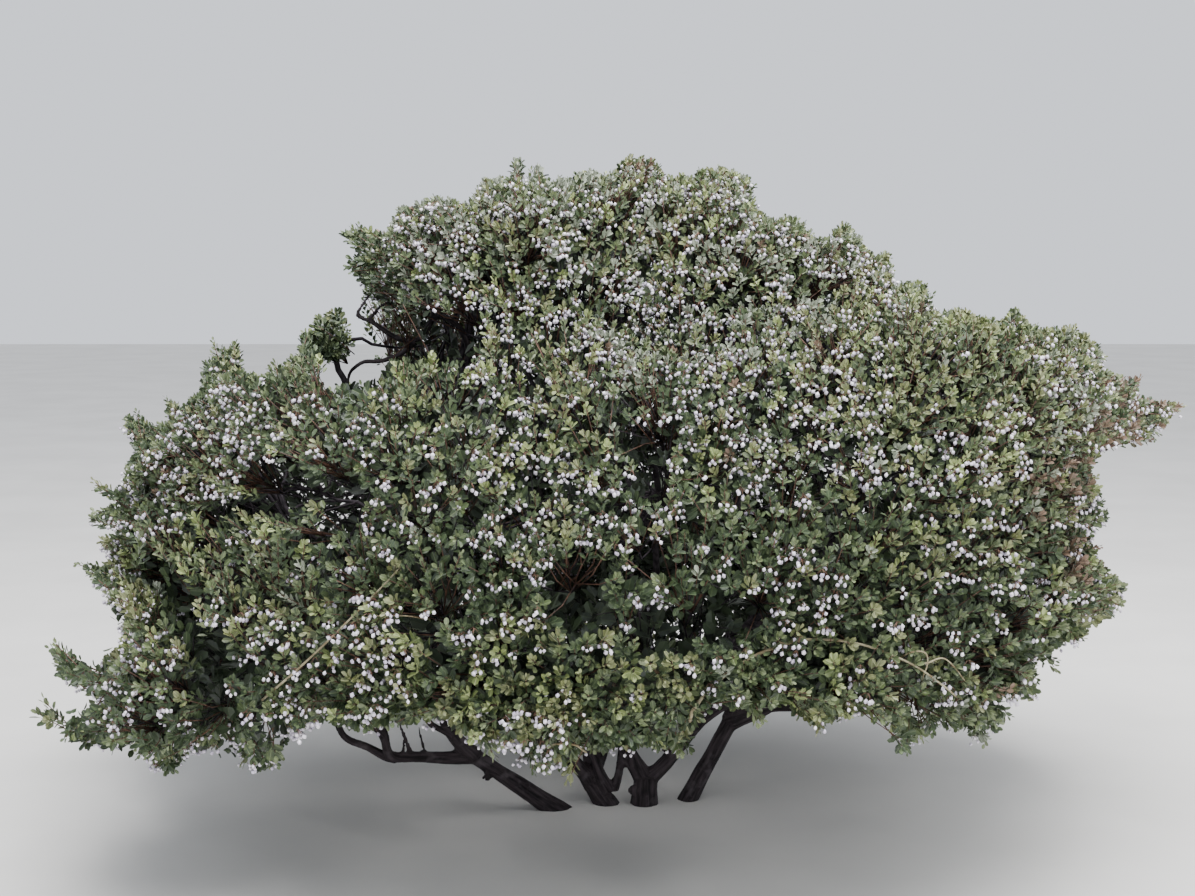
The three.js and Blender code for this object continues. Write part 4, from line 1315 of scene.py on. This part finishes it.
sprayRule = {
    "leafLength": [10.0, 14.6], "leafWidth": 0.60, "widths": [0.9, 1.1],
    "fold": 22, "folds": [0.5, 1.3],
    "youngest": 0.62, "growth": 0.38, "growthRate": 2.2,  # a leaf's length by its age
    "outline": [(0, 0), (0.40, 0.32), (0.5, 0.62), (0.34, 0.89), (0, 1)],
    "innerOutline": [(0, 0), (0.5, 0.42), (0.42, 0.84), (0, 1)], "roundLeaves": 0.3,
    # the shapes of spray: round rosettes, and longer, more open lances
    "rosette": {"count": 9, "leaves": [11, 15], "depth": 22.0, "openAngle": [12, 66]},
    "lance": {"count": 6, "leaves": [16, 21], "depth": 52.0, "openAngle": [14, 58]},
    "openPower": 0.8, "openWander": 9, "turnWander": 0.2, "twist": 26, "foot": [2.0, 4.0],
    "sizes": [0.82, 1.12], "sizeSpread": 0.06,
    "innerSize": [1.45, 2.0, 2.3], "innerShare": 0.7, "fineSize": 0.92,
    "lowSize": 1.22, "clumpSize": 1.12, "backSize": 0.12,
    "longShare": 0.10, "longYoung": 0.45, "longLeft": 0.12, "leftFrom": -420,
    "inTwo": ["deep", "mid"],  # tones with too many leaves for one piece
}


def leafArrays(outline, length, width, foldDegrees):
    fold = math.radians(foldDegrees)
    points, uvs, faces = [], [], []
    for side in (-1, 1):
        base = len(points)
        for across, along in outline:
            offset = across * width
            points.append([side * offset * math.cos(fold), along * length, offset * math.sin(fold)])
            uvs.append([0.5 + side * across, along])
        ring = list(range(base, base + len(outline)))
        faces.append(ring if side > 0 else ring[::-1])
    return np.array(points), np.array(uvs), faces


def sprayMesh(name, outline, leafCount, depth, openAngles):
    points, uvs, ages, faces = [], [], [], []
    phase = random.uniform(0, 2 * math.pi)
    for i in range(leafCount):
        age = i / (leafCount - 1)  # 0 at the tip, 1 at the oldest leaf
        grown = sprayRule["youngest"] + sprayRule["growth"] * min(1, age * sprayRule["growthRate"])
        length = random.uniform(*sprayRule["leafLength"]) * grown
        width = length * sprayRule["leafWidth"] * random.uniform(*sprayRule["widths"])
        edge = outline if age < sprayRule["roundLeaves"] else sprayRule["innerOutline"]
        leafPoints, leafUvs, leafFaces = leafArrays(
            edge, length, width, random.uniform(*sprayRule["folds"]) * sprayRule["fold"])
        tilt = openAngles[0] + (openAngles[1] - openAngles[0]) * age ** sprayRule["openPower"]
        tilt = tilt + random.normal() * sprayRule["openWander"]
        around = phase + goldenAngle * i
        turn = Matrix.Rotation(around + random.normal() * sprayRule["turnWander"], 3, "Z")
        turn = turn @ Matrix.Rotation(math.radians(90 - tilt), 3, "X")
        turn = turn @ Matrix.Rotation(math.radians(random.normal() * sprayRule["twist"]), 3, "Y")
        out, above = sprayRule["foot"]
        foot = np.array([0, out, above - age * depth])
        foot[:2] = np.array(Matrix.Rotation(around, 2)) @ foot[:2]
        start = sum(map(len, points))
        points.append(leafPoints @ np.array(turn).T + foot)
        uvs.append(leafUvs)
        ages.append(np.full(len(leafPoints), 1 - age))
        faces += [[start + corner for corner in face] for face in leafFaces]
    points, uvs, ages = np.concatenate(points), np.concatenate(uvs), np.concatenate(ages)
    mesh = bpy.data.meshes.new(name)
    mesh.from_pydata((points * millimetre).tolist(), [], faces)
    layer = mesh.uv_layers.new(name="leaf")
    corners = np.array([c for face in faces for c in face])
    layer.data.foreach_set("uv", uvs[corners].ravel())
    youth = mesh.attributes.new("youth", "FLOAT", "POINT")
    youth.data.foreach_set("value", ages)
    return bpy.data.objects.new(name, mesh)


def sprayCollection(name, outline, share):  # the rosettes first, and then the lances
    collection = bpy.data.collections.new(name)
    for kind in ("rosette", "lance"):
        rule = sprayRule[kind]
        for _ in range(rule["count"]):
            leafCount = int(share * random.integers(*rule["leaves"]))
            collection.objects.link(sprayMesh(
                f"{name}_{len(collection.objects):02d}", outline, leafCount, rule["depth"],
                rule["openAngle"]))
    return collection


def eulerAlong(ways):  # turns that lay +Z along each way, with a random spin
    spin = random.uniform(0, 2 * math.pi, len(ways))
    side = unit(np.cross(ways, np.where(np.abs(ways[:, 2:]) < 0.9, [[0.0, 0, 1]], [[1.0, 0, 0]])))
    front = np.cross(side, ways)
    x = side * np.cos(spin)[:, None] + front * np.sin(spin)[:, None]
    y = np.cross(ways, x)
    return np.stack([
        np.arctan2(y[:, 2], ways[:, 2]), -np.arcsin(np.clip(x[:, 2], -1, 1)),
        np.arctan2(x[:, 1], x[:, 0])], axis=1)


scatterSeed = 11


def scatterTree(name, collection, material):  # stands sprays or blossom on points
    tree = bpy.data.node_groups.new(name, "GeometryNodeTree")
    tree.interface.new_socket("Geometry", in_out="INPUT", socket_type="NodeSocketGeometry")
    spread = tree.interface.new_socket(
        "Size spread", in_out="INPUT", socket_type="NodeSocketFloat")
    tree.interface.new_socket("Geometry", in_out="OUTPUT", socket_type="NodeSocketGeometry")
    tree.is_modifier = True
    group = addNode(tree, "NodeGroupInput")
    kinds = addNode(tree, "GeometryNodeCollectionInfo", {
        "Collection": collection, "Separate Children": True, "Reset Children": True})
    turn, kind, size = (
        addNode(tree, "GeometryNodeInputNamedAttribute", {"Name": name}, data_type=dataType)
        for name, dataType in (("turn", "FLOAT_VECTOR"), ("kind", "INT"), ("size", "FLOAT")))
    least, most = (
        addNode(tree, "ShaderNodeMath", {0: 1.0, 1: group.outputs["Size spread"]}, operation=how)
        for how in ("SUBTRACT", "ADD"))
    chance = addNode(tree, "FunctionNodeRandomValue", {
        2: least.outputs[0], 3: most.outputs[0], "Seed": scatterSeed}, data_type="FLOAT")
    scale = addNode(tree, "ShaderNodeMath", {
        0: size.outputs["Attribute"], 1: chance.outputs[1]}, operation="MULTIPLY")
    placed = addNode(tree, "GeometryNodeInstanceOnPoints", {
        "Points": group.outputs["Geometry"], "Instance": kinds.outputs[0], "Pick Instance": True,
        "Instance Index": kind.outputs["Attribute"], "Rotation": turn.outputs["Attribute"],
        "Scale": scale.outputs[0]})
    real = addNode(tree, "GeometryNodeRealizeInstances", {"Geometry": placed.outputs[0]})
    dressed = addNode(tree, "GeometryNodeSetMaterial", {
        "Geometry": real.outputs[0], "Material": material})
    addNode(tree, "NodeGroupOutput", {0: dressed.outputs[0]})
    return tree, spread.identifier


def scattered(name, points, turns, kinds, sizes, collection, material, spread):
    piece = meshFrom(name, points, [np.zeros((0, 3), int)])
    mesh = piece.data
    mesh.attributes.new("turn", "FLOAT_VECTOR", "POINT").data.foreach_set("vector", turns.ravel())
    mesh.attributes.new("kind", "INT", "POINT").data.foreach_set("value", kinds.astype(np.int32))
    mesh.attributes.new("size", "FLOAT", "POINT").data.foreach_set("value", sizes)
    tree, spreadInput = scatterTree(name, collection, material)
    scatter = piece.modifiers.new("scatter", "NODES")
    scatter.node_group = tree
    scatter[spreadInput] = spread
    settled(piece)
    for spare in ("turn", "kind", "size"):
        layer = piece.data.attributes.get(spare)
        if layer:
            piece.data.attributes.remove(layer)
    return piece


toneNames = ["deep", "mid", "olive", "young", "grey", "rust"]
toneShares = {
    "usual": [0.46, 0.39, 0.09, 0.037, 0.02, 0.003],
    # painted light: the paler mix dealt at the top of the crown
    "top": [0.08, 0.30, 0.26, 0.14, 0.21, 0.01],
    "young": [0.12, 0.31, 0.27, 0.28, 0.015, 0.005],
    "olive": [0.12, 0.34, 0.40, 0.12, 0.01, 0.01],
    "rust": [0.16, 0.28, 0.14, 0.05, 0.05, 0.32],
    "grey": [0.10, 0.26, 0.16, 0.06, 0.41, 0.01],
    # painted shade: the darker mix dealt in the shaded hollows
    "dark": [0.54, 0.36, 0.07, 0.01, 0.015, 0.005],
}


def dealTones():
    count = len(shoots["tip"])
    shares = np.repeat(np.array([toneShares["usual"]]), count, axis=0)
    for kind in ("top", "dark", "grey", "olive", "rust", "young"):
        inPlace = within(shoots["seen"], places[kind], soft=True)[:, None]
        shares = shares * (1 - inPlace) + np.array(toneShares[kind]) * inPlace
    rolled = (random.random(count)[:, None] > np.cumsum(shares, axis=1)).sum(axis=1)
    return np.minimum(rolled, len(toneNames) - 1)


def foliagePieces():
    leafSprays = sprayCollection("spray", sprayRule["outline"], 1)
    innerSprays = sprayCollection("innerSpray", sprayRule["innerOutline"], sprayRule["innerShare"])
    tones = dealTones()
    ofClump = shoots["mass"] == massNames.index("clump")
    young = within(shoots["seen"], places["young"], soft=True)
    atLeft = shoots["seen"][:, 0] < sprayRule["leftFrom"]
    longShare = sprayRule["longShare"] + sprayRule["longYoung"] * young
    longShare = longShare + sprayRule["longLeft"] * atLeft
    isLong = random.random(len(tones)) < longShare
    isLong = (isLong | isSprig) & ~ofClump & (shoots["layer"] == 0)
    rosettes, lances = sprayRule["rosette"]["count"], sprayRule["lance"]["count"]
    kinds = np.where(
        isLong, rosettes + random.integers(0, lances, len(tones)),
        random.integers(0, rosettes, len(tones)))
    turns = eulerAlong(shoots["way"])
    sizes = random.uniform(*sprayRule["sizes"], len(tones))
    sizes = sizes * leafScale(shoots["seen"], sprayRule["fineSize"], sprayRule["lowSize"])
    sizes = sizes * np.where(ofClump, sprayRule["clumpSize"], 1)
    sizes = sizes * (1 + sprayRule["backSize"] * awayFrom(shoots["normal"]))
    pieces = []

    def addPiece(name, chosen, scale, sprays, finish):
        pieces.append(scattered(
            f"leaves_{name}", shoots["tip"][chosen], turns[chosen], kinds[chosen],
            sizes[chosen] * scale, sprays, finish, sprayRule["sizeSpread"]))
        report("leaves", name, int(chosen.sum()), len(pieces[-1].data.polygons))

    outer, front = shoots["layer"] == 0, shoots["tip"][:, 1] < 0
    for number, tone in enumerate(toneNames):
        finish = leafMaterial(tone)
        mine = outer & (tones == number)
        if tone in sprayRule["inTwo"]:
            addPiece(f"{tone}_front", mine & front, 1, leafSprays, finish)
            addPiece(f"{tone}_back", mine & ~front, 1, leafSprays, finish)
        else:
            addPiece(tone, mine, 1, leafSprays, finish)
    # the shade and core layers, the backing among them, take the painted-shade tone
    shaded = leafMaterial("shaded")
    atTop = within(shoots["seen"], places["top"]) > 0
    # the inner leaves all take the deep tone as painted shade, and at the top the paler mid tone as
    # painted light
    for layerNumber, name, finish, part in (
            (1, "inner", leafMaterial("deep"), ~atTop),
            (1, "inner_top", leafMaterial("mid"), atTop),
            (2, "shade", shaded, True), (3, "core", shaded, True)):
        chosen = (shoots["layer"] == layerNumber) & part
        addPiece(name, chosen, sprayRule["innerSize"][layerNumber - 1], innerSprays, finish)
    return pieces


leafPieces = foliagePieces()


# Blossom: nodding clusters of small urns on short red stalks.

blossomRule = {
    "urns": [3, 8], "urnLength": 7.0, "urnWidth": 6.8, "urnSides": 4, "urnLean": 0.4,
    "urnRings": [(0.5, -0.52), (0.24, -1.0)],  # radius and height below the top
    "clusters": 14, "spread": 11.0, "firstUrn": 0.6, "turnWander": 0.25,
    "drop": [2, 16], "above": 4.0,
    "stalkRadius": 0.75, "stalkTip": 0.8, "stalkFoot": 0.15, "footAbove": 3.0, "footDrop": 0.3,
    "usual": 0.34, "much": 0.54, "little": 0.12, "innerShare": 0.85, "backLess": 0.35,
    "drift": 75.0, "driftRange": [0.36, 0.60], "driftLeast": 0.22, "driftMost": 1.5,
    "hang": 7.0, "forward": 5.0, "edgeRoom": 8.0,
    "sizes": [0.85, 1.1], "sizeSpread": 0.04, "lean": 0.2,
    # the second corolla colour is a lilac-grey mottled into the white, partly the petals' tint and
    # partly painted shade
    "corolla": 0xFCF7FC, "corollaLilacAndShade": 0xB2A8BE, "corollaGrain": 11.0,
    "stalk": 0x7A5A4A, "stalkShade": 0x4E3A30,
}


def urnArrays(top, lean):
    width, length = blossomRule["urnWidth"], blossomRule["urnLength"]
    sides = blossomRule["urnSides"]
    turn = np.arange(sides) * 2 * math.pi / sides + random.uniform(0, 1)
    points = [[0, 0, 0]]
    for radius, height in blossomRule["urnRings"]:
        points += [
            [radius * width * math.cos(a), radius * width * math.sin(a), height * length]
            for a in turn]
    sideBySide = [(i, (i + 1) % sides) for i in range(sides)]
    faces = [[0, 1 + i, 1 + j] for i, j in sideBySide]
    faces += [[1 + i, 1 + sides + i, 1 + sides + j, 1 + j] for i, j in sideBySide]
    faces.append([1 + sides, *range(2 * sides, 1 + sides, -1)])
    tilt = Matrix.Rotation(lean[0], 3, "X") @ Matrix.Rotation(lean[1], 3, "Y")
    return np.array(points) @ np.array(tilt).T + top, faces


def stalkArrays(foot, tip):  # a three-sided spike from the shoot to the top of an urn
    way = unit(tip - foot)
    side = unit(np.cross(way, [0.3, 0.8, 0.1]))
    front = np.cross(way, side)
    ring = [
        foot + blossomRule["stalkRadius"] * (math.cos(a) * side + math.sin(a) * front)
        for a in (0, 2.1, 4.2)]
    end = tip + way * blossomRule["stalkTip"]
    return np.array([*ring, end]), [[0, 1, 3], [1, 2, 3], [2, 0, 3]]


def clusterCollections():
    urns = bpy.data.collections.new("urns")
    stalks = bpy.data.collections.new("stalks")
    for number in range(blossomRule["clusters"]):
        urnParts, stalkParts = [], []
        count = int(random.integers(*blossomRule["urns"]))
        for i in range(count):
            turn = goldenAngle * i + random.normal() * blossomRule["turnWander"]
            out = blossomRule["spread"] * math.sqrt((i + blossomRule["firstUrn"]) / count)
            drop = random.uniform(*blossomRule["drop"])
            top = np.array([
                out * math.cos(turn), out * math.sin(turn), -drop + blossomRule["above"]])
            urnParts.append(urnArrays(top, random.normal(size=2) * blossomRule["urnLean"]))
            foot = top * blossomRule["stalkFoot"]
            foot[2] = blossomRule["footAbove"] - drop * blossomRule["footDrop"]
            stalkParts.append(stalkArrays(foot, top))
        for collection, parts, kind in ((urns, urnParts, "urn"), (stalks, stalkParts, "stalk")):
            points, faces = [], []
            for partPoints, partFaces in parts:
                start = len(points)
                points += partPoints.tolist()
                faces += [[start + c for c in face] for face in partFaces]
            mesh = bpy.data.meshes.new(f"{kind}_{number}")
            mesh.from_pydata((np.array(points) * millimetre).tolist(), [], faces)
            for face in mesh.polygons:
                face.use_smooth = kind == "urn"
            collection.objects.link(bpy.data.objects.new(f"{kind}_{number}", mesh))
    return urns, stalks


def blossomPieces():
    urns, stalks = clusterCollections()
    flat = shoots["seen"]
    much = within(flat, places["muchBlossom"], soft=True)
    little = within(flat, places["littleBlossom"], soft=True)
    chance = blossomRule["usual"] * (1 - much) + blossomRule["much"] * much
    chance = chance * (1 - little) + blossomRule["little"] * little
    chance = np.where(shoots["layer"] == 0, chance, np.where(
        shoots["layer"] == 1, chance * blossomRule["innerShare"], 0))
    low, high = blossomRule["driftRange"]
    drift = smoothNoise(shoots["tip"] + 90, blossomRule["drift"])
    drift = np.clip((drift - low) / (high - low), 0, 1)
    least, most = blossomRule["driftLeast"], blossomRule["driftMost"]
    chance = chance * (least + (most - least) * drift)
    chance = chance * (1 - blossomRule["backLess"] * awayFrom(shoots["normal"]))
    chosen = random.random(len(flat)) < chance
    tips = shoots["tip"][chosen] + shoots["normal"][chosen] * blossomRule["forward"]
    tips = tips - upward * blossomRule["hang"]
    tips = tips[insideEdge(seen(tips)) > blossomRule["edgeRoom"]]
    kinds = random.integers(0, blossomRule["clusters"], len(tips))
    lean = blossomRule["lean"]
    turns = np.stack([
        random.normal(size=len(tips)) * lean, random.normal(size=len(tips)) * lean,
        random.uniform(0, 2 * math.pi, len(tips))], axis=1)
    sizes = random.uniform(*blossomRule["sizes"], len(tips))
    # White petals with a lilac-grey mottle, partly their own tint and partly painted shade: soft,
    # bright dots with little gloss.
    corolla = plainMaterial(
        "waxy white corolla", blossomRule["corolla"], blossomRule["corollaLilacAndShade"],
        blossomRule["corollaGrain"], 0.5, 0.35)
    # Thin red-brown stalks: a warm touch behind the white.
    stalk = plainMaterial(
        "red flower stalk", blossomRule["stalk"], blossomRule["stalkShade"], 6.0, 0.6, 0.3)
    half = np.arange(len(tips)) % 2 == 0
    spread = blossomRule["sizeSpread"]
    pieces = []
    for name, part in (("blossom_a", half), ("blossom_b", ~half)):
        pieces.append(scattered(
            name, tips[part], turns[part], kinds[part], sizes[part], urns, corolla, spread))
    pieces.append(scattered("blossom_stalks", tips, turns, kinds, sizes, stalks, stalk, spread))
    report("blossom", len(tips), [len(p.data.polygons) for p in pieces])
    return pieces


blossom = blossomPieces()


# Dead canes: pale and bare, lying over the leaves.

caneRule = {
    "canes": [  # (x, z) as seen, and two radii
        ([(84, 157), (97, 176), (131, 218), (205, 272), (289, 304), (354, 306), (420, 294),
          (504, 260), (561, 222), (590, 199)], 3.0, 1.3),
        ([(470, 275), (522, 285), (532, 262), (515, 218)], 1.4, 0.9),
        ([(504, 260), (532, 264), (566, 272), (612, 218)], 1.5, 0.9),
        ([(-717, 199), (-645, 260), (-559, 342), (-484, 418), (-452, 454)], 2.0, 1.1),
        ([(-560, 342), (-500, 352), (-400, 350)], 1.2, 0.8),
        ([(-196, 98), (-150, 104), (-110, 96)], 2.0, 1.4),
    ],
    "over": 10.0, "under": 70.0, "spread": 55.0, "nearest": 4, "smoothOver": 4,
    "endSteps": 5, "endPower": 1.5, "sides": 6,
}


def layOver(flat):  # depths that follow the nearest leaves along a line
    spots, depths = shoots["seen"][inFront], shoots["tip"][inFront][:, 1]
    nearest = []
    for point in flat:
        close = np.linalg.norm(spots - point, axis=1) < caneRule["spread"]
        depth = np.percentile(depths[close], caneRule["nearest"]) if close.any() else np.nan
        nearest.append(depth)
    nearest = np.array(nearest)
    known = np.flatnonzero(~np.isnan(nearest))
    nearest = np.interp(np.arange(len(flat)), known, nearest[known])
    padded = np.pad(nearest, caneRule["smoothOver"], mode="edge")
    width = 2 * caneRule["smoothOver"] + 1
    return np.convolve(padded, np.ones(width) / width, mode="valid") - caneRule["over"]


def deadCanes():
    parts = []
    for corners, thick, thin in caneRule["canes"]:
        flat = smoothLine(corners, 7 * len(corners))
        depths = layOver(flat)
        steps = np.arange(len(flat))
        ends = np.minimum(steps, steps[::-1]) / caneRule["endSteps"]  # both ends dip under
        depths = depths + caneRule["under"] * np.clip(1 - ends, 0, 1) ** caneRule["endPower"]
        line = heldIn(unseen(flat, depths))
        parts.append(oneTube(line, thick, thin, caneRule["sides"]))
    piece = meshFrom("dead_canes", *joinArrays(parts))
    # Wood without bark, bleached by the weather: pale, dry lines without gloss.
    piece.data.materials.append(plainMaterial(
        "bare weathered cane", 0xA09A80, 0x77694F, 12.0, 0.8, 0.2))
    return piece


canes = deadCanes()


# Floor, light and camera.

studioRule = {
    "floorSize": 30, "sky": 0xEEF3FC, "skyStrength": 1.22, "lookAt": [0, 0, 0.5],
    "lights": [  # metres and watts
        {"name": "high softbox", "place": [0.3, -1.2, 4.6], "size": 4.0, "power": 600},
        {"name": "right softbox", "place": [3.2, -2.4, 2.6], "size": 2.4, "power": 50},
    ],
}


def studio():
    bpy.ops.mesh.primitive_plane_add(size=studioRule["floorSize"])
    floor = bpy.context.object
    floor.name = "floor"
    # Matt painted floor: pale grey, so that the shrub's soft shadow shows.
    floor.data.materials.append(plainMaterial(
        "pale studio floor", 0xDCDAD6, 0xD4D2CE, 400.0, 0.9, 0.1))
    world = bpy.data.worlds.new("soft sky")
    world.use_nodes = True
    sky = world.node_tree.nodes["Background"]
    sky.inputs["Color"].default_value = linearColour(studioRule["sky"])
    sky.inputs["Strength"].default_value = studioRule["skyStrength"]
    bpy.context.scene.world = world
    for row in studioRule["lights"]:
        light = bpy.data.lights.new(row["name"], "AREA")
        light.size, light.energy = row["size"], row["power"]
        lamp = bpy.data.objects.new(row["name"], light)
        lamp.location = row["place"]
        aim = Vector(studioRule["lookAt"]) - Vector(row["place"])
        lamp.rotation_euler = aim.to_track_quat("-Z", "Y").to_euler()
        bpy.context.scene.collection.objects.link(lamp)
    camera = bpy.data.cameras.new("view")
    camera.lens, camera.sensor_width = view["lens"], view["film"]
    eye = bpy.data.objects.new("view", camera)
    eye.location = Vector(view["eye"]) * millimetre
    eye.rotation_euler = (math.radians(90 - view["pitch"]), 0, 0)
    bpy.context.scene.collection.objects.link(eye)
    bpy.context.scene.camera = eye
    report("studio", len(studioRule["lights"]), "lights")


studio()

foliageNodes = [n for n in frame["nodes"] if n.startswith("foliage_")]
woodNodes = [n for n in frame["nodes"] if n.startswith(("stem_", "bough_"))]
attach(bark, "root")
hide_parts(*woodNodes)
for eachPiece in (*leafPieces, *blossom, branchPiece, shootPiece, canes):
    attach(eachPiece, "root")
    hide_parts(*foliageNodes)
